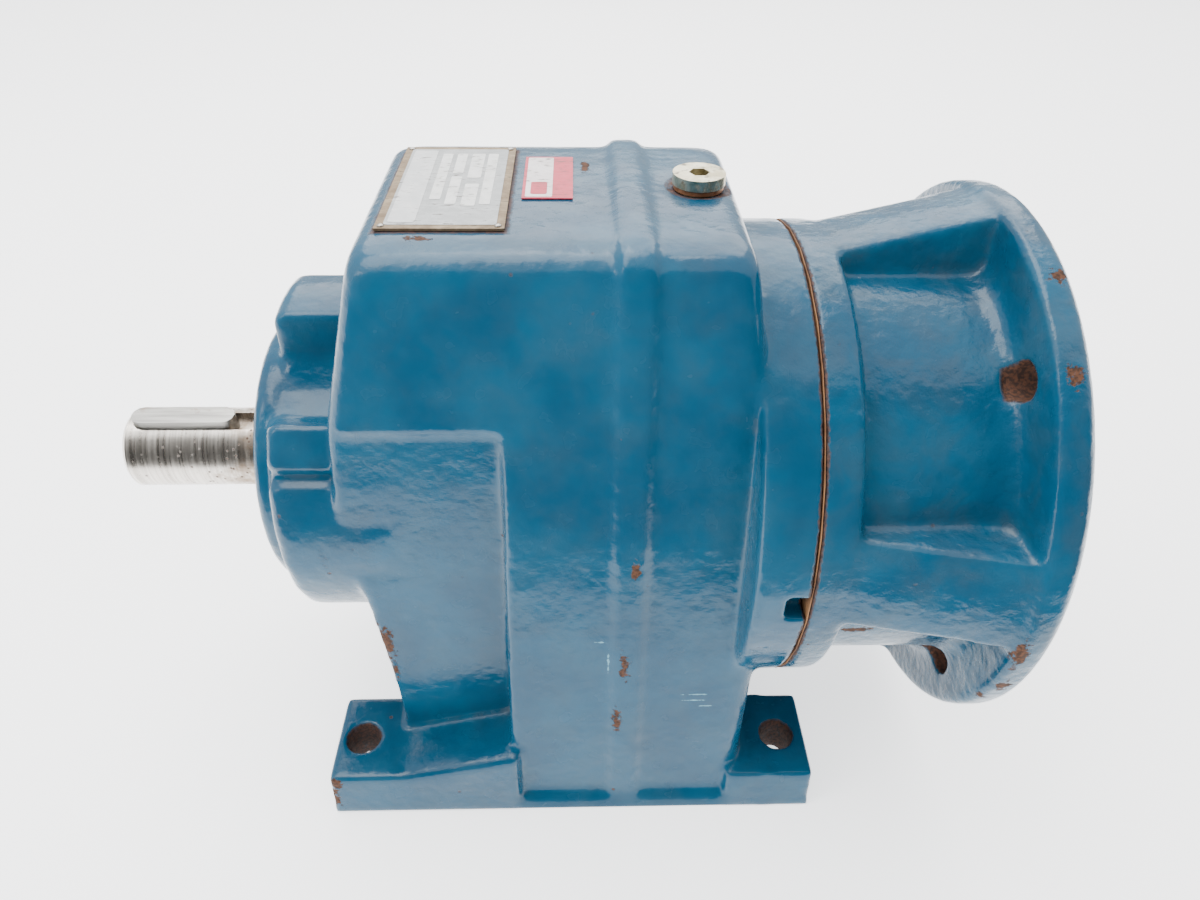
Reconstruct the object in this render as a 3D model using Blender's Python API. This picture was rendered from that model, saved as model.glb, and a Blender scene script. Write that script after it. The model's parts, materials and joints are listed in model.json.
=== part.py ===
"""Inline helical gear reducer: two stages, cast case on feet, flange bell for a motor.

The output shaft leaves the case towards -X and the motor flange faces +X. Both lie on one
axis, SHAFT_HEIGHT above the feet, and the layshaft turns below them. Every length in this
file is in millimetres, and the mesh helpers turn it into Blender's metres. X is measured from
the middle between the foot holes, and the last step moves the whole unit by MIDDLE along X,
so that the origin ends on the floor under the middle of its length.
"""

import math

import bmesh
import bpy
from mathutils import Matrix

MM = 0.001
GAP = 0.3
MIDDLE = 7.75

# Heights of the two shaft lines, and the spur data of the two stages.
SHAFT_HEIGHT = 115.0
GEAR_CENTRES = 54.0
LAY_HEIGHT = SHAFT_HEIGHT - GEAR_CENTRES
FIRST_MODULE = 1.5
PINION_TEETH = 17
LAY_GEAR_TEETH = 55
SECOND_MODULE = 2.0
LAY_PINION_TEETH = 13
OUTPUT_GEAR_TEETH = 41
PRESSURE_ANGLE = math.radians(20)
HELIX_ANGLE = math.radians(12)
BACKLASH = 0.55

# Output shaft: a 30 x 60 journal with an 8 x 7 x 38 key.
SHAFT_RADIUS = 15.0
SHAFT_END = -166.5
SHAFT_SHOULDER = -106.5
KEY_START = -163.0
KEY_LENGTH = 38.0
KEY_WIDTH = 8.0
KEY_TOP = 18.0
KEYWAY_SPARE = 9.0
KEY_TURN = math.radians(11)

# Gear case: (height, half width, left end, right end) of each level of the casting.
CASE_LEVELS = (
    (0.0, 83.5, -66.0, 65.0),
    (40.0, 80.0, -67.0, 66.5),
    (75.0, 76.0, -70.0, 67.5),
    (125.0, 69.0, -76.0, 66.5),
    (165.0, 60.5, -74.0, 62.5),
    (205.0, 52.0, -64.5, 57.0),
    (213.0, 49.5, -62.5, 55.5),
    (216.5, 45.0, -60.5, 53.5),
    (218.0, 37.0, -56.0, 49.5),
)
CASE_CORNER = 8.0
WALL = 7.0
FLOOR_TOP = 14.5
FLOOR_BOTTOM = 9.0
BAND_X = (15.0, 25.5)
BAND_PROUD = 2.0

# Feet.
FOOT_LEFT = -93.0
FOOT_RIGHT = 94.0
FOOT_HALF_WIDTH = 88.0
PAD_INNER_Y = 48.0
LEFT_PAD_HEIGHT = 20.0
LEFT_RAMP_HEIGHT = 31.0
RIGHT_PAD_HEIGHT = 19.0
RAMP_START = -64.0
LEDGE_HEIGHT = 5.5
FOOT_HOLE_X = 82.5
FOOT_HOLE_Y = 67.5
FOOT_HOLE_RADIUS = 6.5

# Side recess on the output half of the case: its edge, and how high it reaches.
RECESS_RIGHT = -20.0
RECESS_TOP = 166.0
RECESS_HALF_WIDTH = 60.5

# Output boss.
BOSS_FACE = -106.0
BOSS_DISC_RADIUS = 51.0
LOBE_FACE = -98.0
LOBE_RADIUS = 61.0
TOP_LOBE_RADIUS = 68.0
SCALLOP_RADIUS = 50.0

# Round neck, and the joint with the motor adaptor.
NECK_RADIUS = 86.3
NECK_START = 58.0
JOINT_X = 76.0
GASKET_THICKNESS = 0.8
NECK_BORE = 60.0

# Motor adaptor and its flange: a 200 mm B5 flange, turned a little from upright.
ADAPTOR_TURN = math.radians(-6)
ADAPTOR_START = JOINT_X + GASKET_THICKNESS
FLANGE_BACK = 139.0
FLANGE_FACE = 151.0
FLANGE_RADIUS = 100.0
REGISTER_RADIUS = 65.0
REGISTER_DEPTH = 4.5
FLANGE_HOLE_CIRCLE = 82.5
FLANGE_HOLE_RADIUS = 6.0
FLANGE_HOLE_START = 134.0
BELL_RADIUS = 72.0
POCKET_START = 89.0
POCKET_FLOOR = 78.5
POCKET_FILLET = 132.0
RIB_HALF_WIDTH = 17.0
RIB_END_RADIUS = 96.5
WALL_FACE = 92.0
SCREW_CIRCLE = 65.0

# Bearings: (start, width, bore radius, outer radius, balls).
OUTPUT_FRONT_BEARING = (-98.0, 17.0, 17.5, 36.0, 9)
OUTPUT_REAR_BEARING = (1.0, 16.0, 12.5, 26.0, 8)
LAY_FRONT_BEARING = (-62.0, 14.0, 8.5, 23.5, 7)
LAY_REAR_BEARING = (2.0, 14.0, 8.5, 23.5, 7)
INPUT_INNER_BEARING = (60.0, 17.0, 12.5, 31.0, 7)
INPUT_OUTER_BEARING = (79.0, 15.0, 11.0, 26.0, 8)

# Gears, seals and coupling hubs, as (start, end) along X.
OUTPUT_GEAR = (-46.0, -20.0)
LAY_PINION = (-46.5, -18.5)
LAY_GEAR = (22.0, 40.0)
INPUT_PINION = (20.0, 42.0)
OUTPUT_SEAL = (-105.6, -99.0)
INPUT_SEAL = (95.5, 102.5)
INNER_HUB = (106.0, 118.0)
OUTER_HUB = (130.0, 146.0)
HUB_RADIUS = 20.0
MOTOR_BORE = 9.5

# Inner wall of the case that carries the rear bearings.
WEB = (0.0, 18.0)

# Base cover and the opening under it: (left end, right end, half width).
COVER = (-58.0, 44.0, 56.0)
COVER_OPENING = (-54.0, 34.0, 42.0)
COVER_SCREW_INSET = 5.0

# Oil plugs: (x, y, z) of each seat, and the turn about X of its axis, zero pointing up.
PLUG_PLACES = {
    "filler": (42.6, 4.3, 218.0, 0.0),
    "level": (-6.0, 70.6, 115.0, -90.0),
    "drain": (42.0, 77.3, 52.0, -90.0),
}
PLUG_COLLAR = 8.6
PLUG_THREAD = 6.0
SPOT_RADIUS = 10.8

PAINT = ((0.004, 0.110, 0.215), 0.32, 0.0)
BRIGHT_STEEL = ((0.56, 0.55, 0.53), 0.28, 1.0)
GEAR_STEEL = ((0.36, 0.35, 0.34), 0.34, 1.0)
BLACK_STEEL = ((0.045, 0.045, 0.048), 0.45, 1.0)
ZINC = ((0.62, 0.58, 0.46), 0.35, 1.0)
RUBBER = ((0.02, 0.02, 0.022), 0.7, 0.0)
GASKET = ((0.24, 0.12, 0.05), 0.85, 0.0)
COPPER = ((0.66, 0.33, 0.18), 0.4, 1.0)
PLATE = ((0.70, 0.70, 0.69), 0.35, 1.0)
LABEL = ((0.62, 0.05, 0.10), 0.5, 0.0)
SPIDER = ((0.65, 0.08, 0.04), 0.6, 0.0)


# ---- helpers -----------------------------------------------------------------------------


def clear_scene():
    for obj in list(bpy.data.objects):
        bpy.data.objects.remove(obj, do_unlink=True)


def material(name, look):
    """A Principled material: colour, roughness and metallic value."""
    found = bpy.data.materials.get(name)
    if found:
        return found
    colour, roughness, metallic = look
    made = bpy.data.materials.new(name)
    made.use_nodes = True
    shader = made.node_tree.nodes["Principled BSDF"]
    shader.inputs["Base Color"].default_value = (*colour, 1.0)
    shader.inputs["Roughness"].default_value = roughness
    shader.inputs["Metallic"].default_value = metallic
    made.diffuse_color = (*colour, 1.0)
    return made


def empty(name, height):
    """A joint axis along X at the given height: the parent of everything that turns on it."""
    made = bpy.data.objects.new(name, None)
    made.empty_display_size = 0.03
    made.location = (0.0, 0.0, height * MM)
    bpy.context.scene.collection.objects.link(made)
    return made


def object_from(name, mesh_builder):
    """A new object from a bmesh in millimetres, with its faces pointing out."""
    bmesh.ops.recalc_face_normals(mesh_builder, faces=mesh_builder.faces)
    bmesh.ops.scale(mesh_builder, vec=(MM, MM, MM), verts=mesh_builder.verts)
    mesh = bpy.data.meshes.new(name)
    mesh_builder.to_mesh(mesh)
    mesh_builder.free()
    made = bpy.data.objects.new(name, mesh)
    bpy.context.scene.collection.objects.link(made)
    return made


def is_closed(mesh):
    """True where every edge has two faces and the mesh holds some volume."""
    builder = bmesh.new()
    builder.from_mesh(mesh)
    whole = all(len(edge.link_faces) == 2 for edge in builder.edges)
    volume = builder.calc_volume(signed=True)
    builder.free()
    return whole and volume > 0.0


def merge_flat_faces(mesh):
    """Joins the triangles that lie in one plane back into single faces."""
    builder = bmesh.new()
    builder.from_mesh(mesh)
    bmesh.ops.remove_doubles(builder, verts=builder.verts, dist=0.004 * MM)
    bmesh.ops.dissolve_degenerate(builder, dist=0.004 * MM, edges=builder.edges)
    bmesh.ops.dissolve_limit(
        builder, angle_limit=math.radians(0.8), verts=builder.verts, edges=builder.edges
    )
    merged = bpy.data.meshes.new(mesh.name)
    builder.to_mesh(merged)
    builder.free()
    return merged if is_closed(merged) else mesh


def finish(obj, slot, look, parent=None, height=0.0):
    """Gives a finished part its material, its place on its axis, and smooth round faces."""
    obj.data = merge_flat_faces(obj.data)
    obj.data.materials.clear()
    obj.data.materials.append(material(slot, look))
    obj.data.shade_smooth()
    obj.data.set_sharp_from_angle(angle=math.radians(35))
    if parent:
        obj.parent = parent
    else:
        obj.location.z = height * MM
    return obj


def combine(target, tool, operation):
    """Applies a Boolean to the target and removes the tool.

    The exact solver comes first, and the manifold solver where that leaves the mesh open.
    """
    for solver in ("EXACT", "MANIFOLD"):
        step = target.modifiers.new("cut", "BOOLEAN")
        step.operation = operation
        step.solver = solver
        step.object = tool
        graph = bpy.context.evaluated_depsgraph_get()
        result = bpy.data.meshes.new_from_object(target.evaluated_get(graph))
        target.modifiers.remove(step)
        if is_closed(result):
            break
    target.data = result
    bpy.data.objects.remove(tool, do_unlink=True)
    return target


def cut(target, *tools):
    for tool in tools:
        combine(target, tool, "DIFFERENCE")
    return target


def join(target, *tools):
    for tool in tools:
        combine(target, tool, "UNION")
    return target


def ring_of(builder, points):
    return [builder.verts.new(point) for point in points]


def skin(builder, first, second):
    """Quads between two rings with the same number of points."""
    count = len(first)
    for i in range(count):
        j = (i + 1) % count
        builder.faces.new((first[i], first[j], second[j], second[i]))


def turned(name, outline, segments=32, centre=(0.0, 0.0), start=0.07):
    """A solid of revolution about X. The outline is a list of (x, radius).

    An outline that starts and ends on the axis makes a solid body, and any other outline is
    closed into a ring.
    """
    builder = bmesh.new()
    rings = []
    for x, radius in outline:
        if radius == 0.0:
            rings.append([builder.verts.new((x, centre[0], centre[1]))])
            continue
        points = []
        for i in range(segments):
            turn = start + 2 * math.pi * i / segments
            y = centre[0] + radius * math.cos(turn)
            z = centre[1] + radius * math.sin(turn)
            points.append((x, y, z))
        rings.append(ring_of(builder, points))
    pairs = list(zip(rings, rings[1:]))
    if len(rings[0]) > 1:
        pairs.append((rings[-1], rings[0]))
    for first, second in pairs:
        if len(first) == len(second):
            skin(builder, first, second)
            continue
        tip, rim = (first, second) if len(first) == 1 else (second, first)
        for i in range(segments):
            builder.faces.new((tip[0], rim[i], rim[(i + 1) % segments]))
    return object_from(name, builder)


def rod(name, x0, x1, radius, segments=32, centre=(0.0, 0.0)):
    outline = ((x0, 0.0), (x0, radius), (x1, radius), (x1, 0.0))
    return turned(name, outline, segments, centre)


def loft(name, rings):
    """A closed body through rings of points, with flat ends."""
    builder = bmesh.new()
    made = [ring_of(builder, points) for points in rings]
    for first, second in zip(made, made[1:]):
        skin(builder, first, second)
    builder.faces.new(made[0])
    builder.faces.new(made[-1])
    # Twisted sides aren't flat, and a Boolean needs flat faces.
    builder.normal_update()
    bmesh.ops.triangulate(builder, faces=builder.faces)
    return object_from(name, builder)


def block(name, x, y, z):
    """A box between two corners, given as (low, high) on each axis."""
    bottom = [(x[0], y[0], z[0]), (x[1], y[0], z[0]), (x[1], y[1], z[0]), (x[0], y[1], z[0])]
    top = [(px, py, z[1]) for px, py, _ in bottom]
    return loft(name, (bottom, top))


def upright(name, z0, z1, radius, x, y, segments=20):
    """A cylinder along Z."""
    rings = []
    for z in (z0, z1):
        turns = [2 * math.pi * i / segments for i in range(segments)]
        rings.append([(x + radius * math.cos(t), y + radius * math.sin(t), z) for t in turns])
    return loft(name, rings)


def polar(radius, turn):
    return radius * math.cos(turn), radius * math.sin(turn)


# ---- gear case ---------------------------------------------------------------------------


def rounded_level(z, half_width, left, right, corner, steps=3):
    """One level of the casting: a rectangle in plan with rounded corners."""
    corners = (
        (right - corner, half_width - corner, 0.0),
        (left + corner, half_width - corner, 0.5 * math.pi),
        (left + corner, -half_width + corner, math.pi),
        (right - corner, -half_width + corner, 1.5 * math.pi),
    )
    points = []
    for cx, cy, turn in corners:
        for i in range(steps + 1):
            dx, dy = polar(corner, turn + 0.5 * math.pi * i / steps)
            points.append((cx + dx, cy + dy, z))
    return points


def case_shell():
    levels = [rounded_level(*level, CASE_CORNER) for level in CASE_LEVELS]
    return loft("gear_case", levels)


def plan(x, half_width, z):
    """A rectangle at height z, between (low, high) along X."""
    near = [(x[0], -half_width, z), (x[1], -half_width, z)]
    return near + [(x[1], half_width, z), (x[0], half_width, z)]


def case_band():
    """The raised band round the casting, over the inner wall."""
    levels = []
    for z, half_width, _, _ in CASE_LEVELS:
        height = z if z < 200.0 else z + BAND_PROUD
        levels.append(plan(BAND_X, half_width + BAND_PROUD, height))
    return loft("band", levels)


def side_recess(side):
    """The recess beside the output half of the case, above the foot."""
    left, right = FOOT_LEFT - 10.0, RECESS_RIGHT
    outer = 120.0 * side
    low, high = (RECESS_HALF_WIDTH + 2.0) * side, (RECESS_HALF_WIDTH - 2.0) * side
    slope = (LEFT_RAMP_HEIGHT - LEFT_PAD_HEIGHT) / (RECESS_RIGHT - RAMP_START)
    left_z = LEFT_PAD_HEIGHT + slope * (left - RAMP_START)
    bottom = [(left, low, left_z), (right - 3.0, low, LEFT_RAMP_HEIGHT)]
    bottom += [(right - 3.0, outer, LEFT_RAMP_HEIGHT), (left, outer, left_z)]
    top = [(left, high, RECESS_TOP), (right, high, RECESS_TOP)]
    top += [(right, outer, RECESS_TOP), (left, outer, RECESS_TOP)]
    return loft("recess", (bottom, top))


def foot_pad(side, left, right, height, inner):
    """A pad with a drafted outer face. The top follows (left height, right height)."""
    low, high = inner * side, FOOT_HALF_WIDTH * side
    top_high = high - 2.5 * side
    bottom = [(left, low, 0.0), (right, low, 0.0), (right, high, 0.0), (left, high, 0.0)]
    top = [(left, low, height[0]), (right, low, height[1])]
    top += [(right, top_high, height[1]), (left, top_high, height[0])]
    return loft("pad", (bottom, top))


def boss_outline(x, radii):
    """One section of the lobed boss: (radius, turn from the top in degrees) on both sides."""
    half = [polar(radius, math.radians(90.0 - turn)) for radius, turn in radii]
    far = [(x, y, z + SHAFT_HEIGHT) for y, z in half]
    near = [(x, -y, z + SHAFT_HEIGHT) for y, z in reversed(half)]
    return far + near


def boss_lobes():
    """Lobes round the output bearing seat: a top lobe, two side lobes and a lower one."""
    shape = [(TOP_LOBE_RADIUS, 4.0), (TOP_LOBE_RADIUS, 13.0)]
    shape += [(SCALLOP_RADIUS + 4.0, 17.0), (SCALLOP_RADIUS, 30.0), (SCALLOP_RADIUS + 2.0, 42.0)]
    shape += [(LOBE_RADIUS, 46.0), (LOBE_RADIUS, 59.0), (LOBE_RADIUS - 5.0, 62.0)]
    shape += [(LOBE_RADIUS, 66.0), (LOBE_RADIUS, 80.0), (LOBE_RADIUS, 95.0), (LOBE_RADIUS, 110.0)]
    shape += [(LOBE_RADIUS, 125.0), (LOBE_RADIUS, 138.0), (SCALLOP_RADIUS + 3.0, 144.0)]
    shape += [(SCALLOP_RADIUS, 155.0), (SCALLOP_RADIUS + 3.0, 168.0), (SCALLOP_RADIUS + 4.0, 176.0)]
    front = [(radius - 3.0, turn) for radius, turn in shape]
    sections = (
        boss_outline(LOBE_FACE, front),
        boss_outline(LOBE_FACE + 3.0, shape),
        boss_outline(-60.0, shape),
    )
    return loft("lobes", sections)


def case_cavity():
    """The inside of the case, one wall thickness in from the casting's own levels."""
    levels = [rounded_level(FLOOR_TOP, RECESS_HALF_WIDTH - WALL, -58.5, 58.0, 5.0)]
    for z, half_width, left, right in CASE_LEVELS[1:6]:
        half = min(half_width, RECESS_HALF_WIDTH + 1.0) - WALL
        levels.append(rounded_level(z, half, left + WALL, right - WALL, 5.0))
    levels.append(rounded_level(210.5, 38.0, -52.0, 44.0, 5.0))
    return loft("cavity", levels)


def inner_web():
    """The wall across the case that carries the rear bearings: it ends inside the side walls."""
    levels = [plan(WEB, CASE_LEVELS[0][1] - 4.0, FLOOR_BOTTOM + 1.0)]
    levels += [plan(WEB, level[1] - 4.0, level[0]) for level in CASE_LEVELS[1:6]]
    levels.append(plan(WEB, CASE_LEVELS[6][1] - 4.0, CASE_LEVELS[6][0]))
    return loft("web", levels)


def lay_pocket():
    """The blind seat of the layshaft's front bearing, inside the end wall."""
    start, width, _, outer, _ = LAY_FRONT_BEARING
    return rod("pocket", start - 5.0, start + width, outer + 5.5, 32, (0.0, LAY_HEIGHT))


def join_foot(case, side):
    """The two pads on one side, the ramp behind the left one and the ledge between them."""
    level = (LEFT_PAD_HEIGHT, LEFT_PAD_HEIGHT)
    ramp = (LEFT_PAD_HEIGHT, LEFT_RAMP_HEIGHT)
    right = (RIGHT_PAD_HEIGHT, RIGHT_PAD_HEIGHT)
    ledge = (LEDGE_HEIGHT, LEDGE_HEIGHT)
    join(case, foot_pad(side, FOOT_LEFT, RAMP_START, level, PAD_INNER_Y))
    join(case, foot_pad(side, RAMP_START, RECESS_RIGHT, ramp, PAD_INNER_Y))
    join(case, foot_pad(side, 60.0, FOOT_RIGHT, right, PAD_INNER_Y))
    join(case, foot_pad(side, RECESS_RIGHT - 1.0, 61.0, ledge, PAD_INNER_Y))


def make_gear_case():
    axis = (0.0, SHAFT_HEIGHT)
    case = case_shell()
    join(case, case_band())
    for side in (-1.0, 1.0):
        cut(case, side_recess(side))
        join_foot(case, side)
    join(case, rod("neck", NECK_START, JOINT_X, NECK_RADIUS, 44, axis))
    join(case, boss_lobes())
    disc = ((LOBE_FACE + 1.0, 0.0), (LOBE_FACE + 1.0, BOSS_DISC_RADIUS))
    disc += ((BOSS_FACE + 3.0, BOSS_DISC_RADIUS), (BOSS_FACE, BOSS_DISC_RADIUS - 3.0))
    disc += ((BOSS_FACE, 0.0),)
    join(case, turned("disc", disc, 32, axis))
    cut(case, case_cavity())
    join(case, inner_web())
    join(case, lay_pocket())
    cut_case_bores(case, axis)
    cut_case_underside(case)
    cut_case_holes(case)
    return finish(case, "case_paint", PAINT)


def stepped_bore(steps, centre):
    """A cutter along X: each step is (where it starts, radius), and the last is the far end."""
    outline = [(steps[0][0], 0.0)]
    for (x, radius), (far, _) in zip(steps, steps[1:]):
        outline += [(x, radius + GAP), (far, radius + GAP)]
    outline.append((steps[-1][0], 0.0))
    return turned("bore", outline, 26, centre)


def cut_case_bores(case, axis):
    """Bearing seats, the seal seat and the opening that takes the adaptor's spigot."""
    near, far = WEB[0] - 1.0, WEB[1] + 1.0
    start, _, _, outer, _ = OUTPUT_FRONT_BEARING
    steps = ((BOSS_FACE - 5.0, 31.0), (start - GAP, outer), (-40.0, outer))
    cut(case, stepped_bore(steps, axis))
    start, _, _, outer, _ = OUTPUT_REAR_BEARING
    cut(case, stepped_bore(((near, outer - 3.0), (start, outer), (far, outer)), axis))
    lay = (0.0, LAY_HEIGHT)
    start, width, _, outer, _ = LAY_FRONT_BEARING
    cut(case, stepped_bore(((start - 1.0, outer), (start + width + 1.0, outer)), lay))
    start, _, _, outer, _ = LAY_REAR_BEARING
    cut(case, stepped_bore(((near, outer - 2.5), (start, outer), (far, outer)), lay))
    cut(case, rod("neck_bore", 50.0, JOINT_X + 1.0, NECK_BORE, 36, axis))
    for place in adaptor_screw_places():
        cut(case, rod("thread", JOINT_X - 14.0, JOINT_X + 1.0, 4.0 + GAP, 16, place))
    # A pry slot in the near side of the joint.
    cut(case, block("slot", (69.0, 77.0), (-90.0, -79.0), (110.5, 120.0)))


def cut_case_underside(case):
    """The hollow under the floor and the assembly opening that the base cover closes."""
    cut(case, block("hollow", (-60.5, 58.0), (-64.0, 64.0), (-1.0, FLOOR_BOTTOM)))
    left, right, half = COVER_OPENING
    through = (FLOOR_BOTTOM - 1.0, FLOOR_TOP + 1.0)
    cut(case, block("opening", (left, WEB[0]), (-half, half), through))
    cut(case, block("opening", (WEB[1], right), (-half, half), through))
    for x, y in cover_screw_places():
        cut(case, upright("thread", through[0], FLOOR_TOP - 1.0, 3.0 + GAP, x, y, 12))


def cut_case_holes(case):
    """Foot bolt holes and the three threaded oil ports."""
    for x in (-FOOT_HOLE_X, FOOT_HOLE_X):
        for y in (-FOOT_HOLE_Y, FOOT_HOLE_Y):
            cut(case, upright("bolt", -1.0, 40.0, FOOT_HOLE_RADIUS, x, y, 24))
    for place in PLUG_PLACES.values():
        cut(case, plug_cutter(place))


# ---- plugs -------------------------------------------------------------------------------


def plug_frame(place):
    """Places something that was made pointing along +Z at the origin."""
    x, y, z, turn = place
    shift = Matrix.Translation((x * MM, y * MM, z * MM))
    return shift @ Matrix.Rotation(math.radians(turn), 4, "X")


def plug_cutter(place):
    hole = upright("hole", -14.0, 2.0, PLUG_THREAD + GAP, 0.0, 0.0, 16)
    join(hole, upright("spot", -1.0, 12.0, SPOT_RADIUS, 0.0, 0.0, 28))
    hole.data.transform(plug_frame(place))
    return hole


def hexagon(radius, z):
    turns = [math.radians(60.0 * i) for i in range(6)]
    return [(radius * math.cos(t), radius * math.sin(t), z) for t in turns]


def make_plug(name, place):
    """A screwed plug with a collar and a hexagon socket, and the ring that seals it."""
    plug = upright("plug", -10.0, 1.0, PLUG_THREAD, 0.0, 0.0, 16)
    join(plug, upright("collar", 0.9, 4.4, PLUG_COLLAR, 0.0, 0.0, 24))
    cut(plug, loft("socket", (hexagon(3.46, -1.5), hexagon(3.46, 6.0))))
    plug.data.transform(plug_frame(place))
    plug.name = name + "_plug"
    washer = upright("washer", -0.7, 0.6, PLUG_COLLAR - 0.4, 0.0, 0.0, 24)
    cut(washer, upright("bore", -2.0, 3.0, PLUG_THREAD + GAP, 0.0, 0.0, 16))
    washer.data.transform(plug_frame(place))
    washer.name = name + "_plug_washer"
    finish(washer, "copper_washer", COPPER)
    return finish(plug, "plug_zinc", ZINC)


# ---- base cover --------------------------------------------------------------------------


def cover_screw_places():
    left, right, half = COVER
    xs = (left + COVER_SCREW_INSET, right - COVER_SCREW_INSET)
    y = half - COVER_SCREW_INSET
    return [(x, side * y) for x in xs for side in (-1.0, 1.0)]


def make_base_cover():
    left, right, half = COVER
    cover = block("base_cover", (left, right), (-half, half), (3.9, 7.6))
    gasket_z = (7.9, FLOOR_BOTTOM - GAP)
    gasket = block("base_gasket", (left, right), (-half, half), gasket_z)
    open_left, open_right, open_half = COVER_OPENING
    hole = block("hole", (open_left, open_right), (-open_half, open_half), (7.0, 10.0))
    cut(gasket, hole)
    for x, y in cover_screw_places():
        cut(cover, upright("hole", 3.0, 9.0, 3.0 + GAP, x, y, 12))
        cut(gasket, upright("hole", 7.0, 10.0, 3.0 + GAP, x, y, 12))
    finish(cover, "cover_paint", PAINT)
    finish(gasket, "gasket_fibre", GASKET)
    for number, (x, y) in enumerate(cover_screw_places(), 1):
        screw = upright("base_cover_screw_%d" % number, 0.9, 3.6, 5.0, x, y, 18)
        join(screw, upright("shank", 2.0, 12.6, 3.0, x, y, 12))
        finish(screw, "screw_black", BLACK_STEEL)


# ---- motor adaptor -----------------------------------------------------------------------


def adaptor_screw_places():
    """(y, z) of each screw that holds the adaptor to the case."""
    places = []
    for i in range(4):
        y, z = polar(SCREW_CIRCLE, math.radians(90.0 * i) + ADAPTOR_TURN)
        places.append((y, SHAFT_HEIGHT + z))
    return places


def adaptor_core(axis):
    """The bell behind the pockets in one turned ring: spigot, joint ring, flange, inside, hub."""
    spigot = NECK_BORE - 2 * GAP
    outline = [(JOINT_X - 14.0, 38.0), (JOINT_X - 6.0, 40.0), (JOINT_X - 6.0, spigot)]
    outline += [(ADAPTOR_START, spigot)]
    outline += [(ADAPTOR_START, NECK_RADIUS), (POCKET_START, NECK_RADIUS)]
    outline += [(POCKET_START + 0.8, POCKET_FLOOR), (POCKET_FILLET, POCKET_FLOOR)]
    fillet = FLANGE_BACK - POCKET_FILLET
    for i in range(1, 4):
        along, out = polar(fillet, math.radians(90.0 - 30.0 * i))
        outline.append((POCKET_FILLET + along, POCKET_FLOOR + fillet - out))
    outline += [(FLANGE_BACK, FLANGE_RADIUS - 1.5), (FLANGE_BACK + 1.5, FLANGE_RADIUS)]
    outline += [(FLANGE_FACE - 3.0, FLANGE_RADIUS), (FLANGE_FACE, FLANGE_RADIUS - 3.0)]
    outline += [(FLANGE_FACE, REGISTER_RADIUS), (FLANGE_FACE - REGISTER_DEPTH, REGISTER_RADIUS)]
    outline += [(FLANGE_FACE - REGISTER_DEPTH, 60.0), (138.0, 60.0), (130.0, BELL_RADIUS)]
    outline += [(WALL_FACE, BELL_RADIUS), (WALL_FACE, 38.0), (103.5, 36.0)]
    inner = INPUT_INNER_BEARING[3] + GAP
    outer = INPUT_OUTER_BEARING[3] + GAP
    step = INPUT_INNER_BEARING[0] + INPUT_INNER_BEARING[1] + GAP
    outline += [(103.5, outer), (step, outer), (step, inner), (JOINT_X - 14.0, inner)]
    return turned("motor_adaptor", outline, 44, axis)


def adaptor_ribs(axis):
    """Four broad ribs between the pockets, growing from the ring to the flange."""
    outline = [(ADAPTOR_START + 1.0, NECK_RADIUS - 0.1), (POCKET_START, NECK_RADIUS)]
    outline += [(FLANGE_BACK - 6.0, RIB_END_RADIUS), (FLANGE_BACK + 1.0, RIB_END_RADIUS + 1.5)]
    outline += [(FLANGE_BACK + 1.0, 75.0), (ADAPTOR_START + 1.0, 75.0)]
    cone = turned("ribs", outline, 44, axis)
    half = RIB_HALF_WIDTH
    x = (POCKET_START - 4.0, FLANGE_BACK + 5.0)
    tall = block("cross", x, (-half, half), (SHAFT_HEIGHT - 120.0, SHAFT_HEIGHT + 120.0))
    wide = block("cross", x, (-120.0, 120.0), (SHAFT_HEIGHT - half, SHAFT_HEIGHT + half))
    join(tall, wide)
    centre = Matrix.Translation((0.0, 0.0, SHAFT_HEIGHT * MM))
    turn = Matrix.Rotation(ADAPTOR_TURN, 4, "X")
    tall.data.transform(centre @ turn @ centre.inverted())
    return combine(cone, tall, "INTERSECT")


def make_motor_adaptor():
    axis = (0.0, SHAFT_HEIGHT)
    bell = adaptor_core(axis)
    join(bell, adaptor_ribs(axis))
    for place in adaptor_screw_places():
        cut(bell, rod("hole", ADAPTOR_START - 20.0, WALL_FACE + 1.0, 4.0 + GAP, 16, place))
    for i in range(4):
        y, z = polar(FLANGE_HOLE_CIRCLE, math.radians(45.0 + 90.0 * i) + ADAPTOR_TURN)
        place = (y, SHAFT_HEIGHT + z)
        cut(bell, rod("hole", FLANGE_HOLE_START, FLANGE_FACE + 1.0, FLANGE_HOLE_RADIUS, 20, place))
    return finish(bell, "adaptor_paint", PAINT)


def make_joint_gasket():
    axis = (0.0, SHAFT_HEIGHT)
    x0, x1 = JOINT_X + 0.25, ADAPTOR_START - 0.25
    outer, inner = NECK_RADIUS - 0.2, NECK_BORE + 0.2
    outline = ((x0, inner), (x0, outer), (x1, outer), (x1, inner))
    gasket = turned("joint_gasket", outline, 32, axis)
    for place in adaptor_screw_places():
        cut(gasket, rod("hole", x0 - 1.0, x1 + 1.0, 4.0 + GAP, 12, place))
    return finish(gasket, "gasket_fibre", GASKET)


def make_adaptor_screws():
    for number, (y, z) in enumerate(adaptor_screw_places(), 1):
        name = "adaptor_screw_%d" % number
        outline = ((JOINT_X - 12.0, 0.0), (JOINT_X - 12.0, 4.0), (WALL_FACE + GAP, 4.0))
        outline += ((WALL_FACE + GAP, 6.5), (WALL_FACE + 8.0, 6.5), (WALL_FACE + 8.0, 0.0))
        screw = turned(name, outline, 18, (y, z))
        tool = loft("socket", (hexagon(3.46, 0.0), hexagon(3.46, 8.0)))
        tool.data.transform(Matrix.Rotation(math.radians(90.0), 4, "Y"))
        tool.location = ((WALL_FACE + 4.0) * MM, y * MM, z * MM)
        cut(screw, tool)
        finish(screw, "screw_black", BLACK_STEEL)


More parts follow.
